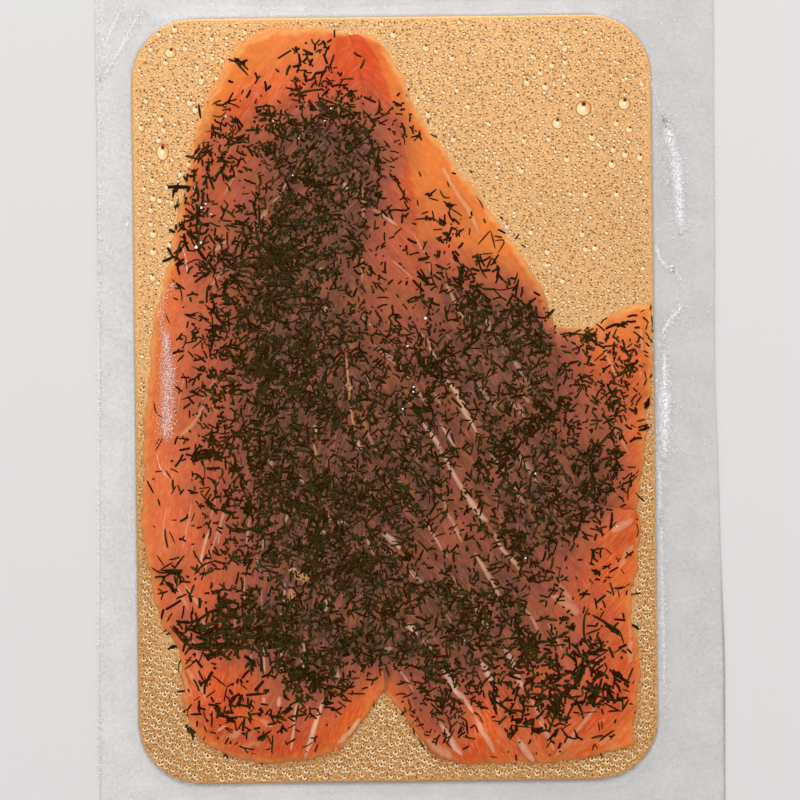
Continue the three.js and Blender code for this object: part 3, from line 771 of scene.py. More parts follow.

# %% [markdown]
# ## Fat lines one by one
#
# The boldest fat lines, the pale edges of single flakes and a few torn flakes are different on every
# fish, and no pattern gives them. Each is listed: a chain of points, a width, how strongly it
# shows, and a tint from 0, pinkish white, to 1, orange cream. On the mesh it is a thin strip of flesh
# that rises a few hundredths of a millimetre out of the leaf and takes the leaf's own material, so that
# its edges melt into the flesh.

# %% Fat lines of the upper leaf, from the head down
FAT_RIGHT = [  # width, strength, tint, x,y of each place
    (1.5, .45, .7, 12.5,64, 15,59.5, 17.5,55, 20.5,50.5, 23.5,43.5),
    (.6, .45, .7, 5,45.5, 6.8,41.8, 9,38.2, 9.9,34.5, 10.3,29),
    (1.0, .6, .2, -6,51.3, -3.5,50, -.5,47.8, 1.6,46.4), (.7, .4, .3, -.7,37.5, 1.5,35.7, 4,33.4, 5.6,31.8),
    # The lines that run down near x -8 to -13, from y 57 to -15, lie along the seam on the upper leaf's edge: a
    # painted highlight on that edge.
    (1.5, .75, .6, 13.9,31.1, 16.3,26.2, 19.4,20.2), (1.2, .5, .8, -8,57.3, -7.9,51, -8.1,45),
    (1.0, .4, 1, -8.3,39, -8.5,30.7), (.8, .85, 1, -13.2,13.6, -12.7,9, -12.4,4.2, -11.7,-3.7, -10.6,-9.4),
    (2.2, .8, .5, -12.8,4.6, -12,3.3, -11.6,2), (1.6, .8, .5, -10.6,-10.2, -9.8,-12.4, -9,-14.5),
    (.6, .5, .2, 7,18, 7.9,16.6), (1.2, .8, .35, 9.2,14.4, 10.4,12, 11.3,10.6),
    (.9, .7, .4, 11.6,9.6, 12.4,7.6),
    (1.7, 1, .3, 12.8,6.5, 14.6,4.1, 16.7,1.4, 18.8,-3.6, 21.2,-7.9, 22.6,-10.9),
    (1.6, .65, .5, 25,-14.7, 27,-16.8, 29.5,-21.8, 32,-24.8, 35,-29.2),
    (1.2, .55, .15, 32.7,-15.2, 35.2,-18.4, 37,-21.6, 38.7,-23.8),
    (1.9, .85, .2, 24.7,21.4, 25.4,19.6, 26.4,17.6), (.6, .5, .1, 22.6,24, 24.8,21),
    (.7, .5, .2, 26.4,17.6, 27.6,16.6, 28.4,15.2), (1.7, .5, .2, 31.5,11.6, 33,8.6, 34.3,6),
    (.9, .45, .9, 13.6,12, 14.2,8.6), (1.5, 1, .25, 5.7,-4.6, 8.4,-8, 10.5,-10.8, 12.6,-13.8),
    (1.6, .85, .35, 12.6,-13.8, 15,-19.3, 16.9,-22.6, 19.2,-26.1),
    (2.3, .9, .3, 18.2,-25, 20.2,-28, 22.5,-31.4, 25,-33.4),
    (1.5, .85, .45, 26,-35.4, 28,-40, 30.5,-42.9, 33.2,-46), (1.1, .8, .15, 11.9,-6.5, 14,-9.7, 16,-13.2),
    (1.1, .4, .3, 10.4,2, 12.4,-2), (.8, .6, .1, 5.8,2.9, 7.1,.6, 8.2,-1.4),
    (1.0, .5, .4, -5,13.8, -2.4,11.9, .7,8.7), (.5, .45, .3, .7,8.7, 2.8,6.4, 4.6,4.4),
    (.7, .45, .2, 1.2,1.9, 3.5,-1.3), (1.2, .45, .2, 21.6,4.5, 24.6,.6, 27.4,-3.6),
    (1.2, .45, .6, 30.6,-.5, 33.1,-3.4, 35.4,-6), (.9, .5, .1, -7.5,6.2, -6.5,2.6),
    (.9, .4, .2, -8.9,22.4, -6,19.6), (1.5, .95, .1, -3.2,-36, -1.1,-37.8, 1.2,-40.6),
    (3.0, .6, 1, -2.8,-39.4, -1.6,-40.8, -.8,-42.4),
    (1.0, .6, .2, 3.2,-45.2, 4.4,-47.5, 6.6,-49, 8,-51.4, 8.2,-54),
    (1.0, .6, .5, 7.8,-31.7, 9.2,-35.2, 10.9,-38.1, 12.6,-41.3, 14.4,-43.1),
    (1.4, .6, .6, 13.2,-30.3, 15,-32.8, 16.4,-36, 17.8,-39),
    (1.5, .7, .45, 20.6,-41, 23.2,-45.3, 24.6,-47.8, 26.4,-51, 28,-54.6),
    (1.7, .85, .2, 20.8,-55.8, 22.8,-58.9, 24.4,-61.8), (2.8, .9, .05, 2.4,-60.4, 3.8,-61.8, 5.3,-63.8),
    (2.6, .65, .8, 6.8,-64.6, 7.6,-66, 8.4,-67.6), (.9, .8, .1, 17,-64.5, 18.6,-65.6, 20.2,-67),
    (1.5, .8, .25, 28.2,-66.8, 30.9,-71.8, 32.6,-76.1, 35.2,-80),
    (1.1, .5, .4, 35.2,-80, 37.3,-84.2, 39.6,-88.4), (2.0, .95, .05, 21.8,-69.8, 24.1,-74, 25.6,-77.4),
    (.9, .5, .2, 25.6,-77.4, 26.6,-81, 27,-84), (2.4, 1, .05, 11.8,-71.6, 14.3,-75.6, 16,-78.2),
    (1.4, .7, .2, 16,-78.2, 18.1,-81.2, 20.3,-85), (1.5, .6, .35, 20.3,-85, 22,-88.9, 24.5,-92.7, 26.4,-97),
    (1.6, .75, .15, 10.6,-86.8, 13.4,-90.2, 15.1,-94, 18.1,-97),
    (2.0, .65, .2, 31.8,-91, 34.4,-95.4, 36.7,-98.4), (2.2, .35, .4, 38.8,-89, 41.4,-93.6),
    (1.5, .4, .8, 41.4,-97.3, 44.2,-94.4, 48,-91), (2.4, .3, .8, 49.8,-97, 53.6,-93.6, 57.8,-91.2),
    (2.2, .35, .7, 62.6,-62, 62.6,-70, 61.8,-78), (3.0, .4, .6, 40.8,-52.4, 44.5,-55, 49.2,-58.6),
    (3.0, .35, .2, 57.5,-36.4, 60.4,-34.8, 64,-32.8), (2.4, .35, .4, 60,-46.5, 61.8,-42.5, 64,-39.6),
    (3.4, .35, .1, 7,-90.6, 10,-94, 14.6,-97), (1.2, .5, .3, 33.8,1.6, 36.2,-1.6),
    # long faint ones
    (1.1, .4, .6, 6.9,18.3, 9.6,14.7, 10.9,10.7, 13,6.2),
    (1.0, .42, .4, 17.4,.4, 20.1,-5.9, 22.3,-9.9, 24,-12.6),
    (1.0, .35, .7, 14,30, 16.2,26.4, 18,23.3, 19.3,20.1), (.8, .4, .3, 22,25, 24.2,21.9, 25.5,19.7, 27.8,16.5),
    (1.2, .32, .4, 32.6,9.8, 34,6.7, 35.8,4, 37.6,1.3), (1.2, .32, .4, 21.5,5.3, 24.2,2.2, 26.4,-1.4, 29.6,-4),
    (1.2, .38, .3, 32.2,-.5, 34,-3.2, 36.7,-5.4, 37.1,-8.1),
    (1.3, .45, .5, 5.8,-5, 10.7,-11.7, 15.1,-19.8, 19.1,-26.9, 24.8,-33.2),
    (.8, .35, .3, 11.6,-6.4, 13.4,-8.6, 15.6,-12.2, 17,-13.5),
    (1.0, .38, .4, 24.9,-13.5, 27.6,-17.1, 29.4,-21.6, 31.6,-25.1),
    (1.0, .35, .2, 33,-14.8, 35.7,-18.4, 37.9,-21.5), (.7, .45, .3, 1.8,1.3, 4.5,-1.8),
    (.8, .45, .2, 5.3,3, 7.1,1.3, 8.5,-1.4), (1.0, .4, .4, -6.2,15, -3.5,13.3, -.3,10.7, 2.8,7, 4.6,4.4),
    (1.0, .35, .3, 12.5,-25.6, 13.8,-31, 15.2,-34.5), (1.2, .6, .1, -4,-36, .3,-39.8),
    (1.0, .45, .2, 3.7,-45, 6,-48.5, 7.9,-50.9), (.9, .4, .5, -8.4,-20, -7,-24.6, -5.2,-30),
    (1.1, .35, .6, -9,-4, -7,-10, -4.4,-15), (1.0, .35, .4, 2,-8, 4.6,-13, 6.4,-18.6),
    (1.1, .35, .3, .4,-20, 2.2,-25, 4.8,-31), (.9, .45, .1, .2,-72.8, 2.4,-75.7, 4.3,-79),
    (1.2, .5, .2, 7.4,-65.4, 9.3,-67.4), (1.8, .8, .05, 11.1,-72.8, 13.5,-75.2, 15.4,-78.6, 17.8,-81),
    (1.6, .75, .05, 21.8,-70.3, 23.7,-73.7, 25.6,-76.6, 26.6,-80),
    (1.4, .7, .15, 27.7,-65.5, 30.5,-70.3, 32.4,-75.2, 34.8,-79.5),
    (1.1, .45, .3, 21.4,-56.3, 22.8,-59.7, 24.3,-62.1),
    (1.1, .45, .5, 21,-41.9, 23.9,-45.7, 26.7,-51, 27.7,-53.9), (1.2, .6, .8, 28.7,-40.4, 31.6,-44.3, 34,-48.1),
    (2.0, .3, .4, 43.4,-50, 47.2,-55.4), (1.6, .6, .1, 20.3,-84.8, 22.6,-89.6, 26,-95.9),
    (2.0, .55, .3, 32.2,-91.5, 35,-96.8), (1.8, .6, .1, 11,-86.6, 12.9,-90, 17.6,-96.7),
    (1.6, .45, .2, 37.5,-86.2, 40.3,-91.5, 41.8,-95.4), (1.5, .4, .3, 43.2,-95, 49.5,-87.7, 53.3,-82.9),
    (1.0, .4, .3, 34,-56, 36.6,-60, 38.4,-64), (1.2, .4, .2, 40,-60.4, 42.4,-64, 44.4,-68.6),
    (.8, .4, .4, 14.6,-47, 16.8,-51.4, 18.4,-55), (.8, .4, .2, 12.4,-56.6, 14.6,-60.6),
    (.9, .6, .9, -6.6,-40, -6.4,-44), (2.0, .45, .3, -4.4,-67.8, -1.4,-67),
    (1.1, .85, .05, -2.4,-72.4, -1.6,-74.4),
]

# %% Fat lines of the left leaf
FAT_LEFT = [  # width, strength, tint, x,y of each place
    (1.0, .5, .3, -45,-27, -48.6,-37, -52.7,-48.2), (.8, .7, .1, -31.2,-56, -31.2,-62, -31.4,-66),
    (.9, .4, .5, -48.6,5.4, -50,2.6, -52,.2), (.4, .55, .1, -63.4,18, -62.4,12),
    (.5, .45, .2, -54.6,-26, -56.2,-34, -57.8,-41), (.5, .5, .1, -60.6,-47.6, -57.8,-52, -55.6,-57),
    (.45, .5, .2, -58.4,-46.6, -55.8,-51.2, -53.4,-55.6), (.5, .5, .1, -47.6,-20, -48.4,-26, -50,-32),
    (.45, .4, .1, -61.8,-28, -62.6,-36, -62,-42), (.5, .4, .3, -56,8, -57.6,2, -58.4,-4),
    (.45, .45, .1, -52.6,-58.4, -50.8,-61.4), (.6, .5, .1, -57.2,-60.6, -54.6,-65.4, -53.4,-70.6),
    (.5, .5, .1, -54.4,-72, -52.8,-77, -51.4,-81), (.9, .35, .4, -45.4,55, -43.4,58.6, -41.4,61.4),
    (.6, .75, .3, -28,59.4, -29.9,55.7, -32.7,52.7), (1.8, .4, .3, -33.4,51.8, -36,47.4, -39,43.6),
    (1.3, .45, .4, -44.2,43.3, -48.4,40), (1.2, .45, .4, -45.8,34.9, -48,32.2, -50.2,29.2),
    (1.9, .8, .05, -12.9,58.4, -12.3,56), (1.9, .7, .05, -19.6,35.6, -18.6,33.4),
    (1.3, .85, .05, -17.8,25.4, -18.8,23.4), (1.2, .4, .5, -47.2,18.8, -49,15.2),
    (1.2, .35, .5, -48,5.8, -50,2.8), (1.6, .4, .5, -51,-.6, -54.2,-6, -58,-9.4),
    (.8, .55, .1, -36.9,-5.2, -36,-3.2, -34.2,-1.6), (1.6, .75, .1, -21.8,-6.6, -21.2,-8.8),
    (1.1, .6, .6, -21.9,-11.6, -21,-16.2), (1.3, .6, .1, -34,-15, -33.2,-17.6),
    (1.6, .6, .1, -25.8,-20.2, -25,-22.6), (.5, .6, .1, -40,-11, -39.6,-13),
    (1.0, .5, .1, -30.4,-10.4, -29.9,-11.8), (.7, .6, .3, -46.6,-29.6, -47.4,-35.4, -48,-39),
    (1.2, .7, .3, -50.2,-34.4, -51.7,-39.1, -53,-44.8), (.7, .65, .1, -39.3,-31, -40.2,-37.7, -40.4,-40),
    (.7, .6, .1, -35.7,-37, -36,-40.4), (1.0, .6, .1, -37.5,-41.8, -36.9,-46),
    (.7, .55, .3, -40.8,-46.6, -41,-51.6, -40.5,-59), (.6, .5, .3, -43.9,-54.8, -43.5,-62),
    (.5, .4, .5, -36.6,-49, -36.3,-54, -36.7,-60.4), (.9, .6, .1, -28.8,-29.4, -29.8,-33),
    (.9, .6, .05, -18.5,-30.4, -16.5,-33.2, -12.6,-32.4), (1.9, .7, .05, -20,-34.2, -18.8,-35.8),
    (.6, .7, .05, -25.2,-37.4, -22.2,-36.4), (1.0, .7, .4, -8.2,-36.8, -6.9,-40),
    (3.6, .75, .95, -28.4,-46.4, -26,-47.2, -23.2,-47.8), (1.1, .9, .1, -29.2,-45.6, -26.8,-45.3),
    (2.8, .65, .85, -28.8,-49.4, -28.4,-53, -30,-58), (.8, .8, .1, -30.2,-48.4, -30.3,-53, -31.6,-58),
    (2.0, .9, .05, -18.6,-52.6, -19.1,-54.8, -19.5,-57), (1.2, .55, .5, -15.4,-50.6, -14.4,-51.8),
    (.7, .75, .1, -36,-66.4, -35.9,-70, -35.7,-73.4), (.8, .85, .1, -31.3,-65.4, -31.3,-70, -31.6,-73.6),
    (.7, .6, .2, -39.4,-66.4, -39.4,-71), (1.0, .55, .1, -25.4,-65, -24.8,-68.2),
    (1.0, .75, .05, -25.9,-68.8, -25.2,-72), (1.6, .65, .1, -16.6,-72.4, -15.8,-75.4),
    (1.0, .55, .5, -57.2,-48.8, -54.7,-52.5, -52.2,-56), (1.4, .35, .7, -59.6,-50.6, -56.2,-55.2),
    (1.1, .7, .35, -27,-80.4, -27.9,-85.2, -28.3,-89.4, -29.2,-94.8),
    (1.7, .9, .25, -20,-80, -21.3,-84, -22.6,-87.8, -23.8,-91.9, -25.6,-97),
    (1.9, .65, .3, -9.4,-84.4, -12.8,-89.2, -15.6,-92.1, -17.4,-95.2), (1.4, .6, .2, -31.8,-79.4, -32.2,-82.4),
    (1.6, .45, .1, -36.2,-79.4, -36,-82), (2.0, .35, .5, -37.4,-85.6, -33.6,-87.8),
    (1.3, .6, .3, -49,-88.8, -46.2,-87.2), (2.4, .4, .8, -48,-91.4, -42,-88.8),
    (1.5, .35, .8, -58.2,-72.4, -56.6,-77, -55,-81.4), (1.5, .35, .8, -57,-71.6, -54.8,-75, -52.4,-78.6),
    (2.8, .3, .8, -44,-94, -36,-91.6),
]

# %% Fat lines of the corner piece
FAT_CORNER = [  # width, strength, tint, x,y of each place
    (1.2, .35, .6, 56,14, 58,9, 60.6,4), (1.6, .35, .7, 66.2,20, 66.6,12, 66,4),
    (1.4, .3, .6, 58,-6, 61,-12, 63,-16),
]
FAT_LINES = {"corner": FAT_CORNER, "left": FAT_LEFT, "right": FAT_RIGHT}

# %% Strips of fat
ACROSS_STRIP = np.array([-1, -0.9, -0.45, 0, 0.45, 0.9, 1])  # seven points from edge to edge
RISE_STRIP = np.array([-0.05, 0.02, 0.035, 0.04, 0.035, 0.02, -0.05])
SHOWN_STRIP = np.array([0, 0, 0.72, 1, 0.72, 0, 0])
STATIONS = 26
KEEL = 0.12


def pairs(row):
    """The places in a row of numbers where x and y take turns."""
    return np.reshape(row, (-1, 2))


def paths(chains, stations):
    """Places and headings at even steps along many chains of places, a row for each chain."""
    t = np.linspace(0, 1, stations)
    spots = np.array([even(pairs(chain), t) for chain in chains])
    step = np.gradient(spots, axis=1)
    return spots[..., 0], spots[..., 1], np.arctan2(step[..., 1], step[..., 0])


def uneven(rows, stations, low, high, rng):
    """Smooth random factors along each row: random numbers at every fourth station, joined by lines."""
    knots = np.linspace(0, 1, stations // 4 + 2)
    values = low + (high - low) * rng.random((rows, len(knots)))
    t = np.linspace(0, 1, stations)
    return np.array([np.interp(t, knots, row) for row in values])


def strip_faces(n, m, k):
    """Faces of `n` strips of `m` stations, each with `k` points on top and one below: a closed band along
    each strip and a fan at both of its ends."""
    loop = np.arange(k + 1)
    onward = np.roll(loop, -1)
    base = (np.arange(n)[:, None] * m + np.arange(m - 1)[None]).ravel()[:, None] * (k + 1)
    quads = np.stack([base + loop, base + loop + k + 1, base + onward + k + 1, base + onward], axis=-1)
    quads = quads.reshape(-1, 4)
    fan = np.stack([np.zeros(k - 1, int), np.arange(1, k), np.arange(2, k + 1)], axis=-1)
    first = np.arange(n)[:, None, None] * m * (k + 1)
    return np.concatenate([quads[:, [0, 1, 2]], quads[:, [0, 2, 3]], (fan[None] + first).reshape(-1, 3),
                           (fan[None, :, ::-1] + first + (m - 1) * (k + 1)).reshape(-1, 3)])


# %% Laying the strips


def column(rows, number):
    """One number from every row of a table, standing, so that it works on rows of stations."""
    return np.array([row[number] for row in rows])[:, None]


def sideways(x, y, turn, half, section):
    """Places across strips: each station's place moved along its normal by the half width times the
    section."""
    return (x[..., None] - np.sin(turn)[..., None] * half[..., None] * section,
            y[..., None] + np.cos(turn)[..., None] * half[..., None] * section)


def strips(leaf, lines, rng):
    """Points, faces and values of strips laid on one leaf. A strip's section is seven points, sunk at
    both edges and highest in the middle, and one point below; its width swells as the root of a sine
    and wanders."""
    n, m, k = len(lines), STATIONS, len(ACROSS_STRIP)
    x, y, turn = paths([line[3:] for line in lines], m)
    t = np.linspace(0, 1, m)
    widths = column(lines, 0) * (0.15 + 0.85 * np.sqrt(np.sin(np.pi * t)))
    half = widths * uneven(n, m, 0.75, 1.45, rng) / 2
    strength = column(lines, 1) * uneven(n, m, 0.85, 1.3, rng)
    strength = np.minimum(strength, 1) * smooth(np.minimum(t, 1 - t) * 6 + 0.1)
    px, py = sideways(x, y, turn, half, ACROSS_STRIP)
    top, _, values = leaf_face(leaf, px.ravel(), py.ravel())
    top = top.reshape(n, m, k)
    under = np.stack([px[..., 3], py[..., 3], top[..., 3] - KEEL], axis=-1)[:, :, None]
    rise = RISE_STRIP * (0.55 + 0.6 * strength[..., None])
    points = np.concatenate([np.stack([px, py, top + rise], axis=-1), under], axis=2).reshape(-1, 3)

    def with_keel(field):
        """A value on the seven points of every section, and the middle one's again on the point below."""
        return np.concatenate([field, field[..., 3:4]], axis=2).ravel()

    values = {key: with_keel(field.reshape(n, m, k)) for key, field in values.items()}
    values["vein"] = with_keel(strength[..., None] * SHOWN_STRIP)
    values["tint"] = with_keel(np.broadcast_to(column(lines, 2)[..., None], (n, m, k)))
    return points, strip_faces(n, m, k), values


fat_rng = np.random.default_rng(7)
STRIPS = {leaf: strips(leaf, FAT_LINES[leaf], fat_rng) for leaf in LEAVES}
print("fat lines:", {leaf: len(lines) for leaf, lines in FAT_LINES.items()})

# %% [markdown]
# ## The flesh
#
# Cured salmon is moist and lets some light in: orange and almost clear where it is thin, and purplish
# brown where dill and its juice lie on it, partly stain and partly painted shade of the dill. Along the
# muscle run fine fibres. The values on the mesh say where each colour goes: the line number gives the
# fibres their direction, the depth of the flesh its light edges, and the stain and shade value its
# brown. A little subsurface scattering softens it all.

# %% Clean flesh
flesh, w = material("cured_salmon")
place = w.here()
line, rim, deep = (w.attribute(key) for key in ("line", "rim", "deep"))
stain_and_shade, vein, tint = (w.attribute(key) for key in ("stain_and_shade", "vein", "tint"))
x_of, y_of = w.part(place, 0), w.part(place, 1)
along_fibre = w.node("ShaderNodeCombineXYZ", inputs={
    0: w.plus(line, w.times(w.noise(place, 90, 2), 0.25)), 1: w.times(y_of, 16.0)})
fibre = w.noise(along_fibre, 24, 3, 0.6)
sheet = w.noise(along_fibre, 5, 2)
clean = w.mix(w.span(w.noise(place, 55, 3), 0.35, 0.65), (209, 76, 27), (212, 94, 38))
clean = w.over(clean, w.span(sheet, 0.5, 0.66), 0.45, (226, 126, 72))
clean = w.over(clean, w.span(fibre, 0.5, 0.68), 0.5, (238, 144, 88))
clean = w.over(clean, w.span(fibre, 0.49, 0.32), 0.45, (176, 56, 20))
clean = w.mix(w.span(x_of, -0.05, -0.062, 0.0, 0.36), clean, (222, 132, 86))

# %% [markdown]
# Light shines through the thin edges, most of all at the head. A few masks say where: the far side of
# the head and the shoulder of the upper leaf let more of it through, and the red patch at the very head
# less.

# %% Light edges
far_head = w.times(w.span(y_of, 0.045, 0.09), 1.3, w.span(x_of, -0.018, -0.036))
red_head = w.times(w.span(y_of, 0.078, 0.088), w.span(x_of, -0.024, -0.016), w.span(x_of, 0.0, -0.008))
shoulder = w.times(w.span(x_of, -0.008, 0.006), w.span(y_of, 0.008, 0.03), 2.2, w.span(y_of, 0.09, 0.08))
cloudy = w.noise(place, 260, 3)
light_depth = w.less(w.plus(deep, w.wander(cloudy, 1.6)), w.plus(far_head, shoulder))
light_depth = w.plus(light_depth, w.times(red_head, 1.3))
thin = w.span(light_depth, 3.3, 1.0)
clean = w.over(clean, red_head, 0.6, (200, 58, 16))
head_end = w.span(y_of, -0.03, 0.03, 0.4, 1.0)
edged = w.over(clean, thin, w.times(head_end, 0.75), (221, 127, 52))
ragged_rim = w.plus(rim, w.wander(cloudy, 0.003))
edged = w.over(edged, w.span(ragged_rim, 0.0019, 0.0, 0.0, 0.85), head_end, (233, 164, 94))

# %% [markdown]
# Under the dill the flesh steeps in its juice, and the dill's shade is painted in as well: the brown
# is partly stain and partly painted shade. Fibres and sheets show there too, in browns.

# %% Stained flesh, with painted shade under the dill
steep_and_shade = w.times(w.plus(stain_and_shade, w.wander(w.noise(place, 130, 3), 0.5)), w.span(stain_and_shade, 0.0, 0.2),
                w.span(rim, 0.0, 0.006, 0.45, 1.0), w.span(y_of, 0.088, 0.068, 0.25, 1.0))
rosy = w.span(w.noise(place, 210, 3, 0.6), 0.4, 0.62)
half_stained_and_shaded = w.mix(w.span(steep_and_shade, 0.0, 0.66), edged, w.mix(rosy, (163, 84, 52), (159, 79, 62)))
stained_and_shaded = w.mix(w.span(steep_and_shade, 0.5, 1.05), half_stained_and_shaded, w.mix(rosy, (85, 55, 34), (93, 60, 51)))
STAINED_SHADED_GRAIN = [  # noise, from, to, share, colour
    (sheet, 0.5, 0.62, 0.4, (170, 94, 62)), (sheet, 0.48, 0.36, 0.4, (96, 54, 40)),
    (fibre, 0.5, 0.7, 0.6, (172, 110, 80)), (fibre, 0.48, 0.32, 0.35, (70, 40, 26))]
for noise, start, end, share, brown in STAINED_SHADED_GRAIN:
    stained_and_shaded = w.over(stained_and_shaded, w.times(w.span(noise, start, end), stain_and_shade), share, brown)
pale = w.mix(tint, w.mix(stain_and_shade, (244, 188, 158), (200, 158, 136)),
             w.mix(stain_and_shade, (244, 172, 112), (192, 134, 88)))
mottled = mottle(w, w.mix(vein, stained_and_shaded, pale), 0.08, 0.2, 110.0, 700.0)
w.surface(w.principled({
    "Base Color": mottled, "Roughness": 0.45, "Specular IOR Level": 0.1, "Subsurface Weight": 0.1,
    "Subsurface Radius": (0.0022, 0.0008, 0.0003), "Subsurface Scale": 1.0,
    "Normal": w.bump(w.noise(place, 900, 3), 0.3, 0.0001)}))

# %% The leaves and their fat lines
for name, skin in SKINS.items():
    hand_over(build("leaf_" + name, *skin, flesh), "fish", "slice_" + name)
for name, strip_set in STRIPS.items():
    hand_over(build("fat_lines_" + name, *strip_set, flesh), "fish")

# %% [markdown]
# ## Chopped dill
#
# Dill leaves are threads that fork again and again, and chopping leaves short needles, forks of two or
# three, and a few longer sprigs. Strewn by the thousand they must be few-faced: a needle is a thread
# with a three-cornered section, swollen in the middle and pointed at both ends, bent a little and
# laid on the fish. A fork is needles that start from one another. All needles of a kind are worked out
# together, as one array with a row for each.

# %% Strewing
rng = np.random.default_rng(41)
DILL_BED = np.maximum(blur(FISH_TOP, 0.5), BOARD_HEIGHT) + 0.02
COARSE = [  # x, y, half width, half length
    (-50, -66, 14, 16), (48, -74, 22, 14), (-38, 92, 14, 8), (-56, 50, 8, 22), (40, 40, 16, 16)]
MOST_HIDDEN = 0.72
FILLED = 0.95


def covered(x, y):
    """The share of the flesh that dill hides. Where it is thick, needles lie on each other, so the share
    nears its greatest value and never reaches one: that value times one less a falling exponential of
    the layers."""
    return MOST_HIDDEN * (1 - np.exp(-1.6 * layers(x, y)))


def needed(x, y):
    """Area of needles per area of fish that hides that share, when they fall at random."""
    return -np.log(1 - covered(x, y))


def cloud(size, gain):
    """A random field from 0 to 1 over the raster: noise averaged over `size` and steepened."""
    return smooth((blur(rng.standard_normal(GX.shape), size) * gain + 1) / 2)


PATCHY = (0.35 + 1.3 * cloud(0.8, 5)) * (0.7 + 0.6 * cloud(2.6, 16))
CHANCE = (needed(GX, GY) * ON_FISH * PATCHY).ravel()
TO_COVER = (needed(GX, GY) * ON_FISH).sum() * PITCH**2
print("dill needles to cover %.0f mm2" % TO_COVER)


def strew(count):
    """`count` places on the fish, drawn over the raster with a chance that grows with the dill there."""
    chosen = rng.choice(CHANCE.size, size=count, p=CHANCE / CHANCE.sum())
    return np.column_stack([GX.ravel()[chosen], GY.ravel()[chosen]]) + (rng.random((count, 2)) - 0.5) * PITCH


# %% Needles, many at once


def tube(x, y, turn, width, lift, t, blunt=0.86):
    """Points and faces of many needles at once, each a row of stations. The half width swells a little
    towards the middle and closes in a blunt point at both ends; the height is the fish's top there plus
    the needle's own lift. Needles in thick dill are sometimes pale with juice."""
    n, count = x.shape[0], len(t) - 2
    size = 2 + count * 3
    swell = (blunt + (1 - blunt) * np.sin(np.pi * t[1:-1]))[None] * np.broadcast_to(width, n)[:, None] / 2
    z = sample(DILL_BED, x, y) + np.broadcast_to(lift, n)[:, None]
    nx, ny = -np.sin(turn), np.cos(turn)
    tips = np.stack([np.column_stack([x[:, k], y[:, k], z[:, k] + 0.04]) for k in (0, -1)], axis=1)
    inner = slice(1, -1)

    def corner(side, up):
        """One edge of the three-cornered section, at the inner stations."""
        return np.stack([x[:, inner] + nx[:, inner] * swell * side, y[:, inner] + ny[:, inner] * swell * side,
                         z[:, inner] + up * swell], axis=-1)

    ribs = np.stack([corner(-1, -0.2), corner(1, -0.2), corner(0, 0.6)], axis=2)
    points = np.concatenate([tips, ribs.reshape(n, -1, 3)], axis=1)
    faces = []
    for c in range(3):
        d = (c + 1) % 3
        faces += [(0, 2 + d, 2 + c), (1, 2 + (count - 1) * 3 + c, 2 + (count - 1) * 3 + d)]
        for low in range(2, 2 + (count - 1) * 3, 3):
            faces += [(low + c, low + d, low + 3 + d), (low + c, low + 3 + d, low + 3 + c)]
    faces = (np.arange(n)[:, None, None] * size + np.array(faces)[None]).reshape(-1, 3)
    pale = np.minimum(layers(x[:, 1], y[:, 1]), 1) * (rng.random(n) > 0.45)
    values = {"shade": np.repeat(rng.random(n), size), "pale": np.repeat(pale, size)}
    return points.reshape(-1, 3), faces, values


def thread(start, heading, length, width, bend, lift, stations=(0, 0.07, 0.5, 0.93, 1)):
    """Needles that run from a start along a heading, turning evenly by `bend`. Gives back their tubes,
    and where and in what direction they go."""
    t = np.asarray(stations, float)
    turn = heading[:, None] + bend[:, None] * (t[None] - 0.5)
    between = heading[:, None] + bend[:, None] * ((t[1:] + t[:-1])[None] / 2 - 0.5)
    step = length[:, None] * np.diff(t)[None]
    still = np.zeros((len(start), 1))
    x = start[:, :1] + np.concatenate([still, np.cumsum(np.cos(between) * step, axis=1)], axis=1)
    y = start[:, 1:] + np.concatenate([still, np.cumsum(np.sin(between) * step, axis=1)], axis=1)
    return tube(x, y, turn, width, lift, t), np.stack([x, y], axis=-1), turn


def bunch(*tubes):
    """Several sets of tubes as one mesh."""
    points, faces, values, start = [], [], [], 0
    for p, f, v in tubes:
        points.append(p)
        faces.append(f + start)
        values.append(v)
        start += len(p)
    return (np.concatenate(points), np.concatenate(faces),
            {key: np.concatenate([v[key] for v in values]) for key in values[0]})


# %% Single needles and forks


def coarseness(x, y):
    """Where the larger pieces of dill lie, from 0 to 1: the highest of a few bells."""
    return np.max([np.exp(-((x - cx) / rx) ** 2 - ((y - cy) / ry) ** 2) for cx, cy, rx, ry in COARSE], axis=0)


def single(share, shortest, longest, width, lift=0.2, skew=1.4, **settings):
    """Single needles that make up a share of all the dill, of lengths between two bounds, short ones
    more often, longer and thicker where the dill is coarse."""
    count = int(share * TO_COVER / ((shortest + (longest - shortest) / (1 + skew)) * width * FILLED))
    start = strew(count)
    large = 1 + 0.45 * coarseness(start[:, 0], start[:, 1])
    length = (shortest + (longest - shortest) * rng.random(count) ** skew) * large
    heading, thick = rng.random(count) * 2 * np.pi, width * (0.7 + 0.6 * rng.random(count)) * large
    bend = rng.normal(0, 0.4, count)
    return thread(start, heading, length, thick, bend, rng.random(count) * lift, **settings)[0]


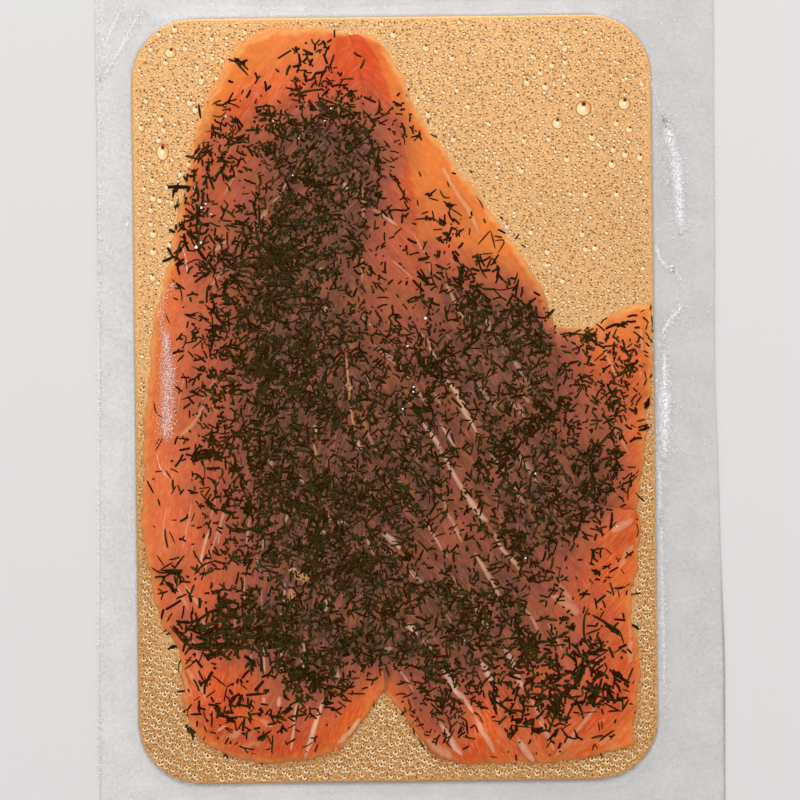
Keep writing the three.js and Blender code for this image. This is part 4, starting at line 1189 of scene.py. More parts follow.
def forked(share, arms, length, width, spread=0.55):
    """Forks: a stalk with `arms` needles that leave its far end at angles of about `spread`."""
    count = int(share * TO_COVER / (length * width * FILLED * (0.6 + 0.75 * arms)))
    start = strew(count)
    large = 1 + 0.5 * coarseness(start[:, 0], start[:, 1])
    heading = rng.random(count) * 2 * np.pi
    long = length * (0.6 + 0.8 * rng.random(count)) * large
    lift = rng.random(count) * 0.2
    stalk, spots, turn = thread(start, heading, long * 0.6, width * large * (0.9 + 0.4 * rng.random(count)),
                                rng.normal(0, 0.3, count), lift)
    parts = [stalk]
    for arm in range(arms):
        side = (arm - (arms - 1) / 2) * 2 * spread / max(arms - 1, 1)
        onward = turn[:, -1] + side + rng.normal(0, 0.2, count)
        reach = long * (0.45 + 0.6 * rng.random(count))
        thick = width * large * (0.8 + 0.3 * rng.random(count))
        parts.append(thread(spots[:, -2], onward, reach, thick, rng.normal(0, 0.4, count), lift)[0])
    return parts


# %% [markdown]
# ## Dill's colour
#
# Wet chopped dill is almost black, a warm brown-green. Each needle has a random number on its points,
# which picks its green, and another that says how pale the juice over it makes it.

# %% Dill material and pieces
herb, w = material("wet_dill")
shade, pale = w.attribute("shade"), w.attribute("pale")
green = w.mix(w.span(shade, 0.25, 0.65), (56, 24, 2), (33, 31, 4))
green = w.mix(w.span(shade, 0.65, 1.0), green, (72, 62, 22))
juicy = w.mix(w.span(shade, 0.2, 0.6), (86, 56, 30), (66, 62, 32))
green = w.over(green, pale, 0.65, juicy)
green = w.mix(w.span(w.noise(w.here(), 700, 2), 0.42, 0.62, 0.0, 0.5), green, (40, 30, 4))
mottled = mottle(w, green, 0.2, 0.5, 200.0, 1500.0)
w.surface(w.principled({"Base Color": mottled, "Roughness": 0.6, "Specular IOR Level": 0.0}))

# %% The strewn dill
dill_sets = {
    "dill_needles": [single(0.52, 1.3, 3.2, 0.5)],
    "dill_long_needles": [single(0.12, 2.8, 4.6, 0.55, stations=(0, 0.05, 0.35, 0.65, 0.95, 1))],
    "dill_crumbs": [single(0.18, 0.5, 1.5, 0.5, stations=(0, 0.15, 0.85, 1))],
    "dill_forks": forked(0.15, 2, 2.2, 0.5) + forked(0.05, 3, 2.2, 0.5, 0.9),
}
for name, parts in dill_sets.items():
    hand_over(build(name, *bunch(*parts), herb), "dill")

# %% [markdown]
# ## Sprigs and clumps
#
# Some larger pieces lie alone on the clear edges of the fish and on the gold, where they are easy to
# see, and here and there wet leaves stick together in a clump. Both are placed one by one: a sprig is a
# bent thread through a few places, and a clump is a bundle of short needles in nearly one direction.

# %% Sprigs
SPRIGS = [  # width, x,y of each place
    (.6, -52,80.4, -51.7,78, -51.4,76), (.4, -48.3,76.9, -46,76.4, -44.3,77.9), (.4, -52.2,72.3, -50.2,72.1),
    (.5, -46.1,74.6, -45.8,72), (.5, -53.6,64, -51,67.6, -47.5,69), (.6, -59.4,54.9, -58.6,57, -57.4,59.2),
    (.4, -58.7,51.4, -57.6,54.8), (.5, -56,56.2, -55.4,52.4), (.4, -56.4,36.4, -52.8,38.1, -50.6,36.8),
    (.4, -59.8,33.2, -57.2,30, -56.9,26.6), (.5, -53.2,34.4, -51,34.5), (.4, -61.6,24, -60.2,21),
    (.35, -55.8,23, -52.2,24), (.35, -55.8,23, -52.6,22), (.5, -51,26.2, -47.4,22.8, -44.6,18.6),
    (.4, -48.8,19.8, -46.6,16.2), (.4, -47.2,13.4, -44.8,15.8), (.5, -54.4,14.2, -51.2,16.6),
    (.4, -49.9,15.8, -49.1,10.8), (.4, -57.2,17.8, -55.8,17.2, -56.8,14), (.35, -53.9,20.8, -52.4,18.4),
    (.5, -58.4,10.6, -56.4,12.6), (.4, -53.8,12.8, -51.8,11.8), (.35, -57.2,8, -55.9,5.6, -56,3),
    (.4, -57.4,.5, -53.4,1.9, -52.2,3.6), (.35, -54.6,9.4, -50,7.8), (.4, -64.9,.2, -64,-3.2, -61.4,-4.4),
    (.35, -64.6,-13.4, -62.4,-9.6), (.35, -64.2,-11.4, -63.4,-9.8),
    (.8, -55.3,-15.8, -52.6,-13.4, -49.6,-13.4, -46.2,-15.6), (.6, -54.6,-14.4, -52.2,-11.6),
    (.5, -45.8,-15.6, -45.5,-18.6), (.35, -51,-17.8, -46.6,-18.2), (.35, -64.8,-18.8, -62.6,-18.6),
    (.4, -61.8,-18.4, -60.2,-20.8), (.5, -67,-21, -65,-24.8), (.5, -64,-26, -63.4,-28),
    (.4, -58.6,-22.2, -57.6,-25), (.4, -60.4,-25, -58.9,-22.4), (.4, -52.6,-24.4, -50.4,-27),
    (.6, -50.8,-27, -48,-29.8), (.35, -46.2,-28, -44.2,-24.4), (.35, -60.2,-31.8, -58.8,-31.8),
    (.35, -55,-32.4, -54,-29.8), (.4, -52,-33.4, -50.4,-32.4), (.6, -62.2,-33.8, -61.9,-36.8, -61.3,-39.6),
    (.3, -61,-34.6, -59.4,-38.2), (.35, -65.8,-33, -64.8,-33.8), (.9, -46,-32.8, -43.8,-34.6, -40,-35),
    (.5, -46,-36.6, -45.2,-38.6), (.35, -64.6,-41, -62.4,-44.2), (.45, -66.2,-44.4, -63.2,-46, -59.8,-45),
    (.4, -63.9,-45.4, -60,-43), (.5, -60,-45.2, -56.8,-41), (.45, -62.8,-47.6, -60.6,-50, -58.4,-51.2),
    (.4, -59.2,-46.4, -57.2,-47.6, -59,-49.4), (.5, -54.6,-46.8, -52,-44, -48.4,-42.8),
    (.4, -51.6,-47, -50,-44.6), (1.0, -63.4,-59, -62.8,-55.6), (.45, -62.2,-59.6, -60.4,-56.6),
    (.4, -55,-55, -54.8,-57.2), (.45, -63.2,-62.2, -60.6,-60.2),
    (.7, -57.4,-60, -53,-58.4, -50,-56.4, -46.2,-55.4),
    (.9, -60.4,-60.4, -58,-64, -54.4,-66.2, -50,-66.6, -46,-64.8), (.35, -53.6,-70.4, -52,-66.8),
    (.3, -59.2,-73, -58.6,-69.8, -56,-69.6, -54.6,-70.2), (.35, -57.6,-72.2, -55,-70.4),
    (.4, -50,-73.4, -46,-76.8), (.4, -46,-76.6, -46.8,-81), (.4, -46,-76.8, -44,-75.6),
    (.35, -52,-74, -51,-76.8), (.35, -42.4,-76, -40.4,-77.6), (.3, -55,-80.6, -53.2,-79.2),
    (.5, -50,-83, -50.2,-88), (.35, -51.8,-79.6, -48.8,-77.6), (.4, -52.4,-87, -51.6,-89.2),
    (.4, -35.4,-89.6, -34,-92.8), (.6, -38,-91.2, -34,-88.4), (.35, -29.4,-88, -27.4,-86.8),
    (.35, -46,-85, -41.8,-84.8, -38.6,-85.8), (.6, -27.6,-86.4, -26.8,-81.6), (.45, -17.4,-80, -13.6,-77.8),
    (.5, -13.8,-79, -8.6,-79.2), (.6, -15.2,-80.6, -12.4,-81.2), (.8, -20,-81.8, -17.2,-81.4),
    (.4, -22.2,-84.8, -20.4,-84.2),
    # the upper leaf
    (.5, 5,70.4, 7,70.8, 8,71.4), (.6, 7.6,72.4, 7.4,70.8, 8.2,69.4), (.35, 7.4,70.8, 5.8,69.3),
    (.4, 10.3,71.4, 12.4,70.3), (.4, 9.7,75.4, 9.9,74), (.45, 20.8,61.6, 21.6,60.6),
    (.35, 22.2,54.6, 23.6,52.8, 24.5,50.8), (.45, 28.8,48.8, 29.8,48.2), (.5, 9.4,54.4, 12,56.4),
    (.4, 9.6,54, 12.4,53.2), (.45, 12.7,56.2, 13.8,54.2, 15.6,54), (.4, 15.4,53, 15.2,49.4),
    (.35, 15.4,52.2, 17.4,52), (.4, 3.4,54.2, 5,53.2), (.4, 6.6,53.6, 6.9,51.8),
    (.6, -1.6,49.4, 0,50.8, 3.6,50.6, 4.8,51.8), (.4, 7.6,49.6, 9.8,50.4), (.5, 5.6,48.2, 10.6,48.4, 12.6,47),
    (.4, 22.7,41.2, 26.3,45.2), (.4, 26.3,45.2, 27.5,40), (.35, 27,42.3, 30,42.3, 28,38.8),
    (.35, 22.9,38.6, 27,39), (.5, 22.9,38.7, 23.4,35, 25.2,32), (.6, 21.5,36.8, 24.4,37, 26.5,38.4),
    (.5, 26.5,38, 25,34.6), (.4, 26.6,37.8, 27.6,36), (.6, 15.8,39.6, 17.2,36.6),
    (.45, 17.2,36.6, 20.6,34.4, 21.6,31.2), (.6, 18,36, 18.2,30.4), (.35, 10.1,36.8, 10.5,32, 12.2,29.2),
    (.35, 14,34.4, 15,30.4), (.35, 26,29.6, 29,29, 33.5,30), (.5, 32.4,30.5, 33.5,33.8),
    (.45, 32.8,42.6, 34.1,44.2), (.35, 34.3,41.4, 35.9,40.4), (.35, 28,34.2, 27.6,32), (.7, 6.6,37, 10,38.3),
    (.5, 11,36.2, 14,34.8), (.5, 65.7,-20.6, 63.4,-23, 62.4,-25.6, 62.5,-28.4),
    (.4, 64.6,-33.8, 65.1,-36.4, 64.5,-38), (.35, 57,-36, 59.3,-33.5), (.35, 55,-34.8, 55.3,-37.8),
    (.45, 53,-40.7, 52.2,-44.8), (.4, 54.2,-41, 55.2,-40.7), (.25, 55.8,-40.5, 58,-42.6),
    (.3, 60.2,-46.2, 61.2,-47.8), (.8, 52.2,-46.4, 55,-47.7), (.5, 58.2,-51.5, 60.8,-51.6),
    (.3, 59.5,-51.8, 59.8,-54.4), (.35, 61.6,-51, 62.8,-50.2), (.3, 49,-54.8, 50.8,-52.2),
    (.45, 62,-52, 61.6,-53.6), (.6, 51.6,-56.3, 50.2,-59.6, 50.2,-64.6, 51.8,-67.8),
    (.8, 52,-58.4, 56,-60.8, 60.2,-64.6), (.4, 55.8,-57.4, 54.4,-59.4), (.5, 50.4,-63.8, 54.8,-62.2),
    (.4, 59.8,-63, 61,-66.8), (.35, 58,-69, 61.2,-67), (.6, 49.8,-68.6, 56.6,-68.2), (.4, 52,-71, 56.2,-68.4),
    (.6, 52.4,-74, 55.4,-71.8), (.6, 54,-73.4, 56.6,-75.4), (.4, 60.2,-78.7, 62.4,-79.4),
    (.45, 54.8,-82, 60,-84.8), (.5, 60,-84.8, 62.2,-81.2), (.3, 48,-85.6, 50.4,-84.8, 53.6,-84.6),
    (.5, 51.6,-96.4, 52.6,-93.2), (.5, 52.6,-93.2, 55,-97.2), (.5, 53.8,-92.8, 55.6,-91.2, 58.2,-89.6),
    (.4, 53.7,-87.4, 54.1,-90), (.35, 54.6,-87, 54.8,-89.6), (.5, 58.6,-86.6, 58,-88),
    (.5, 40.6,-86, 45.6,-86.3), (.5, 44.9,-86.6, 46.6,-83.4, 48.6,-80), (.8, 35.6,-88.6, 39.2,-89.7),
    (.35, 30.4,-87.9, 35.6,-88.6), (.35, 25,-86.6, 28,-87), (.4, 17.2,-90.8, 20.8,-91.6),
    (.5, 12.8,-93, 15,-88.6), (.35, 5.3,-91.6, 7,-94.4), (.35, 4.6,-85, 7,-89.4), (.35, 21.4,-84.6, 22.8,-87.4),
    (.6, 18.2,-86.4, 18.6,-90.4), (.35, 66.2,22.6, 67.8,23.4), (.4, 69.4,22, 69.6,18.4),
    (.4, 67.6,17.4, 68.8,15.6), (.9, 56.6,18.2, 60,19.4, 62.6,18.4), (.6, 56.8,14.4, 58.2,17.8),
    (.5, 64.4,14, 66.4,13), (.45, 61.6,9, 64.4,11.4),
]
CLUMPS = [  # x, y, length, width, heading in degrees
    (-4.4, 64.3, 5.5, 1.6, 88), (-40.3, 90.2, 6, 1.3, -48), (-39.6, 91, 3, .8, 20), (-48, 72.6, 3.2, 1.5, -75),
    (-51.5, 66, 5, 1.1, 48), (-53.5, 61.3, 3.2, 1.6, 30), (-55, 49.7, 2.6, 1.4, 15),
    (-57.9, 46.8, 2.8, 1.6, -80), (-58.6, 56.6, 3.4, .7, 62), (-34.3, 76.3, 3, 1.8, 20),
    (-40.8, 70, 3, 1.6, 10), (-33, 66.3, 2.4, 1.8, 60), (-45.2, 62.5, 3, 1.6, 70), (-44.6, 59.3, 4, 1.4, -50),
    (-51.5, -14.3, 6, 1.3, 25), (-48, -14.2, 5, 1.2, -20), (-54, -15.6, 2.6, 1.3, -60),
    (-53.2, 2.6, 3.4, 1.4, -20), (-53.6, 6.2, 4, 1.2, 50), (-49.2, 6.6, 2.4, 1.2, -40),
    (-51.6, 8.6, 2.6, 1.2, 30), (-60.4, -45.7, 5, 1.4, 0), (-60.8, -49.3, 4.5, 1.1, -45),
    (-57.5, -63.4, 5, 1.2, -40), (-52.6, -65.9, 5, 1.3, -5), (-47.5, -65.8, 5, 1.5, 5), (-50, -68, 4, 1.4, 20),
    (-55, -60.6, 5, 1.6, 30), (-60.3, -65.9, 2.8, 1.4, 10), (-60, -61, 3.4, 1.3, -50), (-41.5, -34.7, 5, .9, 0),
    (-49.2, -28.4, 4, .9, -50), (-46, -84.5, 5, 2.4, -20), (-42.5, -80.5, 3.4, 1.3, 60),
    (-48.5, -82.8, 4, 1.6, -60), (-55.7, -88.8, 4.4, 1.6, -60), (-32.6, -85.4, 4, 1.8, -20),
    (-29.6, -83.2, 4.4, 1.2, 40), (-36.4, -90.2, 3.4, 1, 35), (-31, -88.5, 2.4, 1.6, -60),
    (-37, -83.4, 2.8, 1.2, 20), (-18.6, -81.5, 3.2, 1.2, 10), (-24.6, -74.4, 5, 2.4, 10), (-22, -76, 5, 3, 80),
    (-37, -62.6, 4, 1.6, 0), (-30.6, -63.6, 4, 2.4, 20), (-20, -32, 5, 3, 80), (-22, -36.5, 5, 3, 10),
    (-26, -39.6, 4, 2, 0), (30.4, -89.6, 4.2, 2, 70), (33, -87.3, 4.6, 1, -20), (37.4, -89, 3.2, .9, -15),
    (22.6, -82.5, 4, 1.2, -30), (25.6, -80.6, 5, 1.5, 80), (26, -77.6, 3, 1.4, -50),
    (56.2, -79.8, 4.4, 2.4, -60), (48.6, -74.6, 4.2, 1.5, 80), (42, -84.2, 4, 2, -40), (46, -78, 4, 2, 0),
    (44.6, -86.3, 3.2, 1, 0), (58.6, -74.7, 4, 1.8, -45), (61, -76.6, 3.2, 1.8, -30),
    (51.8, -66.8, 2.8, 1.4, -60), (54, -68.4, 4.6, 1, 10), (58, -62.4, 5, 1.2, -40), (53.6, -47, 2.6, .9, -20),
    (42, -51.4, 2.2, 1.2, -70), (42.6, -72.4, 3.4, 1.6, 0), (37, -67.4, 4, 1.4, -20), (52.2, -80.6, 4, 2, 40),
    (47.2, -61.8, 2.8, 1.4, 60), (45.2, -59.4, 2.4, 1, -10), (53.8, -71.6, 3.6, 1.2, 35),
    (2.6, -42.3, 3.8, 2.4, -45), (5.6, -2.7, 3.4, 2, -20), (9, -2.8, 2.8, 1.6, 30), (7, 10.8, 5.5, 1.3, -65),
    (5.4, 13.8, 2.6, .9, -30), (12.8, 47.6, 3.2, 1.4, -30), (14.9, 43.3, 3.2, 1.1, 80), (12.6, 43, 2, 1.1, 0),
    (16.8, 37.3, 2.8, 1.6, -70), (8, 32.6, 4.5, 1.6, -55), (12, 38.6, 2.4, 1.2, -40), (8.2, 37.8, 3, .9, 20),
    (12.4, 33, 2.6, 1.6, -30), (18.2, 33, 4.6, .9, 88), (10, 48.4, 3.6, 1, -25), (-3.4, 54.6, 3, 2.2, 0),
    (.4, 59.4, 3.6, 1, -35), (21.6, 27.6, 2.2, 1.6, 0), (17.6, 44.6, 2.4, 1, 70), (15.2, 52, 2, 1.4, 0),
    (9.6, 54.6, 1.8, 1.4, 30), (40.6, -14.6, 4, 1.2, 85), (47.6, -19.8, 5, 1.1, 78),
    (54.6, -26.4, 3.2, 1.2, 60), (43, -27, 4.4, 1, 50), (33.8, -36.6, 3.6, 1.2, -60),
    (47.4, -36.4, 3.4, 1.4, 80), (52.6, -22.8, 3, 1, 10), (57.4, -17.8, 2.6, 1.2, 40),
    (61.6, 19.6, 2.8, .9, 10), (68.4, -1.6, 3.4, 1.8, 70), (66.8, -8.4, 3, 1.2, 20),
]

# %% The sprigs and clumps laid down
SPRIG_STATIONS = 9


def clump(cx, cy, long, wide, heading):
    """Short needles in nearly one direction, their middles strewn over a turned rectangle."""
    count = int(3 + long * wide * 0.75)
    angle = math.radians(heading)
    cos, sin = math.cos(angle), math.sin(angle)
    u, v = (rng.random(count) - 0.5) * long * 0.7, (rng.random(count) - 0.5) * wide
    spots = np.column_stack([cx + u * cos - v * sin, cy + u * sin + v * cos])
    turn = angle + rng.normal(0, 0.3, count)
    length = long * (0.35 + 0.35 * rng.random(count))
    start = spots - 0.5 * length[:, None] * np.column_stack([np.cos(turn), np.sin(turn)])
    return thread(start, turn, length, 0.38 + 0.25 * rng.random(count), rng.normal(0, 0.3, count),
                  0.05 + rng.random(count) * 0.2)[0]


sprig_lines = paths([sprig[1:] for sprig in SPRIGS], SPRIG_STATIONS)
sprig_widths = np.array([sprig[0] for sprig in SPRIGS])
sprigs = tube(*sprig_lines, sprig_widths, 0.1, np.linspace(0, 1, SPRIG_STATIONS), 0.55)
points, faces, values = bunch(sprigs, *[clump(*row) for row in CLUMPS])
values["pale"] = values["pale"] * 0.3
hand_over(build("dill_sprigs", points, faces, values, herb), "dill")

# %% [markdown]
# ## Beads of brine on the gold
#
# Under the film the gold is dotted with beads of brine. A bead is a low lens. From above it shows a
# dark spot where it bends the dark room in, a pale body and a thin brown ring. To trace that light
# through thousands of tiny lenses would cost far too much, so each bead is a small dome that knows, on
# its points, where on the lens it is, and the material paints spot, glint, body and ring from that: the
# lens's light and shade are painted into the colour.

# %% Domes
SUNK = 0.05
FLATTER = 1.35


def beads(x, y, radius, segments, rings_at, tall, wet=0.0, longer=1.0, bed=BOARD_HEIGHT):
    """Low domes, many at once: a middle point, rings of points at shares of the radius, and a middle
    point below. The height follows one less the square of the distance from the middle. `lens` is the
    place on the lens, from -1 to 1 across and along, and how wet the gold is round it."""
    n, count = len(x), len(rings_at)
    angle = np.arange(segments) * 2 * np.pi / segments
    circle = np.column_stack([np.cos(angle), np.sin(angle)])
    local = np.concatenate([np.zeros((1, 2))] + [circle * share for share in rings_at] + [np.zeros((1, 2))])
    rise = tall * (1 - np.hypot(*local.T) ** 2)
    rise[-1] = -SUNK
    px = x[:, None] + local[None, :, 0] * radius[:, None]
    py = y[:, None] + local[None, :, 1] * (radius * np.ravel(longer))[:, None]
    pz = sample(bed, px, py) + rise[None] * np.minimum(radius, FLATTER)[:, None]
    c = np.arange(segments)
    d = (c + 1) % segments
    faces = [np.stack([np.zeros(segments, int), 1 + c, 1 + d], -1),
             np.stack([np.full(segments, len(local) - 1), 1 + (count - 1) * segments + d,
                       1 + (count - 1) * segments + c], -1)]
    for low in range(1, 1 + (count - 1) * segments, segments):
        faces += [np.stack([low + c, low + segments + c, low + segments + d], -1),
                  np.stack([low + c, low + segments + d, low + d], -1)]
    faces = np.concatenate(faces)
    size = len(local)
    faces = (np.arange(n)[:, None, None] * size + faces[None]).reshape(-1, 3)
    lens = np.empty((n, size, 3))
    lens[..., :2], lens[..., 2] = local, np.broadcast_to(wet, n)[:, None]
    values = {"lens": lens.reshape(-1, 3), "pick": np.repeat(rng.random(n), size),
              "radius": np.repeat(radius * MM, size)}
    return np.stack([px, py, pz], axis=-1).reshape(-1, 3), faces, values


# %% [markdown]
# The dark spot, a painted reflection of the dark room, leans a little to one side, by a random number
# of each bead, and stands high on the lens. It is larger on tiny beads and lower on the wet gold. A warm
# crescent of painted light lies under the lens there, and a painted highlight, the glint, below the spot.
# The ring is painted shade at the lens's edge, and a large bead's body is painted lighter towards the
# lower left.

# %% Bead material
bead_look, w = material("brine_bead")
lens, pick = w.attribute("lens", 1), w.attribute("pick")
across, along, wet = (w.part(lens, number) for number in range(3))


def apart_from(u, v):
    """Distance on the lens from a place on it."""
    squares = (w.math("POWER", w.less(at, middle), 2.0) for at, middle in ((across, u), (along, v)))
    return w.math("SQRT", w.plus(*squares))


from_middle = apart_from(0.0, 0.0)
tiny = w.span(w.attribute("radius"), 0.0006, 0.00035)
lean = w.plus(w.wander(pick, 0.4), 0.06)
high = w.less(0.58, w.times(tiny, 0.2), w.times(wet, 0.4))
spot_reach = w.plus(0.3, w.times(tiny, 0.36), w.times(wet, 0.03))
# The spot: painted reflection of the dark room.
spot = w.span(w.less(apart_from(lean, high), spot_reach), 0.06, -0.1)
glint_reach = w.plus(0.26, w.times(tiny, 0.2))
# The glint: painted highlight.
glint = w.span(w.less(apart_from(w.less(lean, 0.08), w.less(high, 0.56)), glint_reach), 0.14, -0.16)
# The crescent: painted light under the lens.
under_lip = w.span(w.plus(along, w.times(across, 0.25)), 0.5, -0.15)
crescent = w.times(w.span(from_middle, 0.36, 0.58), w.span(from_middle, 1.0, 0.86), under_lip)
# The ring: painted shade at the lens's edge.
ring = w.times(w.span(from_middle, 0.76, 0.94), w.less(1.0, w.times(tiny, 0.75)))
# Painted light: a large bead's body is lighter towards the lower left.
left_lower = w.span(w.plus(across, along), 1.0, -0.8)
large_body = w.mix(left_lower, (222, 172, 114), (250, 220, 172))
body = w.mix(wet, w.mix(tiny, large_body, (222, 172, 110)), (206, 150, 90))
painted = w.over(body, crescent, wet, (255, 234, 190))
painted = w.over(painted, ring, 0.9, w.mix(wet, (172, 92, 34), (112, 64, 28)))
glint_share = w.less(0.8, w.times(wet, 0.5))
painted = w.over(painted, glint, glint_share, w.mix(tiny, (255, 242, 212), (255, 228, 156)))
painted = w.over(painted, spot, 0.95, w.mix(tiny, (74, 22, 0), (96, 36, 0)))
w.surface(w.principled({"Base Color": painted, "Roughness": 0.5, "Specular IOR Level": 0.0}))

# %% The large beads, one by one
LARGE_BEADS = [  # x, y, radius, how much longer than wide
    (51.7, 77.7, 2.15, 1.0), (62.7, 78.9, 1.75, 1.0), (44.7, 73.8, 1.6, 1.0), (54.0, 69.9, 1.25, 1.0),
    (47.2, 64.1, 1.1, 1.0), (59.3, 62.6, 1.2, 1.05), (62.8, 65.2, 1.05, 1.1), (66.8, 64.4, 1.05, 1.1),
    (60.6, 73.6, 1.05, 1.0), (64.0, 71.9, 1.15, 0.85), (54.5, 40.1, 1.2, 0.9), (41.6, 83.7, 1.2, 1.0),
    (40.3, 87.5, 1.0, 1.0), (9.5, 94.5, 1.1, 1.0), (60.4, 54.5, 1.0, 1.0), (-59.4, 94.0, 1.6, 0.9),
    (-61.8, 67.2, 1.7, 1.4), (-54.6, 63.9, 1.1, 1.0), (-64.5, 45.2, 1.2, 1.0), (-64.6, 40.4, 1.2, 1.0),
    (-60.0, 42.2, 1.1, 1.0),
]
large_x, large_y, large_radius, large_longer = np.array(LARGE_BEADS).T
large_set = beads(large_x, large_y, large_radius, 24, (0.3, 0.55, 0.78, 0.92, 1.0), 0.26, 0.0, large_longer)
hand_over(build("beads_large", *large_set, bead_look), "water")

# %% [markdown]
# The smaller ones are strewn at random on the bare gold, evenly but not in rows: the corners of a
# honeycomb, each moved a little. Fine, small and middling beads lie where the gold is dry, the middling
# ones mostly at the upper left, and close wet ones where the brine has gathered.

# %% Where the gold is bare, dry and wet
edge_in = np.minimum(half_w - np.abs(GX), half_l - np.abs(GY))
corner_out = np.hypot(*past_arcs(GX, GY))
BARE = (edge_in > 1.0) & (corner_out < radius - 1.0) & (blur(ON_FISH.astype(float), 0.5) < 0.05)
for bead_x, bead_y, bead_radius, _ in LARGE_BEADS:
    BARE &= np.hypot(GX - bead_x, GY - bead_y) > bead_radius + 0.6
WET = np.clip(smooth((-GY - 55) / 25) + smooth((GX - 57) / 7) * smooth((22 - GY) / 20)
              + smooth((-GX - 62) / 7) * smooth((30 - GY) / 40), 0, 1)
DRY = BARE * (1 - WET)
UPPER_LEFT = smooth((-GX - 20) / 25) * smooth((GY - 20) / 20)
NEAR_TOP = smooth((GY - 60) / 25)


def jittered(gap, wander, field):
    """Places on the bare gold, across and along: the corners of a honeycomb of pitch `gap`, each moved at
    random by up to `wander`, and kept with the chance that the field gives."""
    u, v = np.meshgrid(np.arange(-85, 85, gap), np.arange(-110, 110, gap * 0.866))
    u = u + (np.arange(len(v))[:, None] % 2) * gap / 2
    places = np.column_stack([u.ravel(), v.ravel()]) + (rng.random((u.size, 2)) - 0.5) * 2 * wander
    return places[rng.random(len(places)) < sample(field, places[:, 0], places[:, 1])].T


# %% The strewn beads
x, y = jittered(1.1, 0.4, DRY * 0.45)
fine_set = beads(x, y, 0.18 + 0.1 * rng.random(len(x)), 6, (1.0,), 0.4)
hand_over(build("beads_fine", *fine_set, bead_look), "water")

x, y = jittered(1.95, 0.75, DRY * 0.95)
sizes = 0.36 + 0.2 * rng.random(len(x)) + 0.25 * rng.random(len(x)) ** 6
small_set = beads(x, y, sizes, 8, (0.6, 1.0), 0.32)
x, y = jittered(4.2, 1.8, DRY * (0.18 + 0.5 * UPPER_LEFT + 0.25 * NEAR_TOP))
sizes = 0.55 + 0.5 * rng.random(len(x)) ** 1.6
longer = 1 + 0.2 * rng.random((len(x), 1))
middle_set = beads(x, y, sizes, 14, (0.4, 0.75, 0.92, 1.0), 0.28, 0.0, longer)
hand_over(build("beads_small", *bunch(small_set, middle_set), bead_look), "water")

x, y = jittered(1.6, 0.58, BARE * WET)
wet_set = beads(x, y, 0.46 + 0.36 * rng.random(len(x)), 10, (0.5, 0.8, 1.0), 0.32, 1.0)
hand_over(build("beads_wet", *wet_set, bead_look), "water")

# %% [markdown]
# ## The film
#
# The pouch is two clear webs, a tenth of a millimetre thick. Vacuum draws the upper one down on the
# fish and the board, and round the board both lie together and pucker into a few long wrinkles. It is
# one closed skin here: the upper web lies on a raster of all that is under it, smoothed as a taut film
# would be, and the lower web lies flat.

# %% The wrinkles of the margin
WRINKLES = [  # height, half width, places
    (0.35, 1.9, (68.5, 84), (74, 60), (75.6, 44)), (0.3, 1.7, (75.6, 44), (69, 34), (72, 24)),
    (0.25, 1.8, (70.5, 24), (71.5, -20), (72, -84)), (0.3, 1.6, (80, 98), (79, 60), (80.5, 10)),
    (0.3, 1.6, (-78, 96), (-77.4, 30), (-78.4, -40)), (0.45, 2.2, (-58, 112), (-20, 108.6), (24, 112.4)),
    (0.45, 2.2, (-34, -110), (4, -113), (52, -109)),
]


def wrinkle(x, y):
    """How far the wrinkles lift the film at places measured from the pouch's middle: the highest of the
    ridges, each a bell across and fading out along its last fifth at both ends."""
    lift = np.zeros(np.shape(x))
    for tall, half, *ridge in WRINKLES:
        away, at = near(even(ridge, np.linspace(0, 1, 31)), x, y)
        fade = smooth(np.minimum(at, 1 - at) * 5)
        lift = np.maximum(lift, tall * fade * np.exp(-((away / half) ** 2)))
    return lift


# %% What the film lies on
out_of_board = np.maximum(np.hypot(*past_arcs(GX, GY)) - radius, 0)
FILM_GAP = 0.14
OVER_FISH, OVER_GOLD = 0.12, 0.30
margin_height = POUCH["margin"] + (BOARD_TOP - POUCH["margin"]) * (1 - smooth(out_of_board / POUCH["skirt"]))
over_card = np.where(ON_FISH, FISH_TOP + OVER_FISH, BOARD_TOP + OVER_GOLD)
content = np.where(out_of_board <= 0, over_card, margin_height)
FILM_TOP = drape(content, 0.9, 0.0) + FILM_GAP * smooth(2 - out_of_board)

# %% [markdown]
# A real pouch is never a perfect rectangle: its sides sway by a fraction of a millimetre and pull in
# where the vacuum draws on them, and its corners are blunt. So the grid is bent near its edges.

# %% The film's skin
ACROSS, ALONG = 178, 262
HALF_WIDE, HALF_LONG = POUCH["width"] / 2, POUCH["length"] / 2
BORDER = 12  # the power that keeps the bending near the edges
BLUNT = 0.7
HEM_WIDE = 2.4
u, v = np.meshgrid(np.linspace(-1, 1, ACROSS + 1), np.linspace(-1, 1, ALONG + 1))
sway = 0.1 * np.sin(v * 125 / 23 + 1) + 0.08 * np.sin(v * 125 / 9.5)
swell = 0.3 * np.sin(u * 85 / 19) - 0.2 * np.sin(u * 85 / 8 + 2)
inset = np.where(u < 0, np.interp(v, [-1, 0, 0.8, 1], [0.4, 1.9, 1.8, 1.8]),
                 np.interp(v, [-1, -0.55, 0, 0.8, 1], [0.25, 0.3, 1.7, 1.3, 1.2]))
film_x = u * (HALF_WIDE - 0.1 - (inset + sway) * np.abs(u) ** BORDER)
film_y = v * (HALF_LONG - (0.5 + swell) * np.abs(v) ** BORDER)
corner = smooth((np.abs(u) - 0.97) / 0.03) * smooth((np.abs(v) - 0.98) / 0.02)
film_x, film_y = film_x - np.sign(u) * corner * BLUNT, film_y - np.sign(v) * corner * BLUNT
board_x = film_x - BOARD["middle_x"]
away = sample(out_of_board, board_x, film_y)
height = sample(FILM_TOP, board_x, film_y) + wrinkle(film_x, film_y) * smooth(away / 2)
edge = np.minimum(HALF_WIDE - np.abs(film_x), HALF_LONG - np.abs(film_y))
hemmed = POUCH["hem"] + (height - POUCH["hem"]) * smooth(edge / HEM_WIDE)
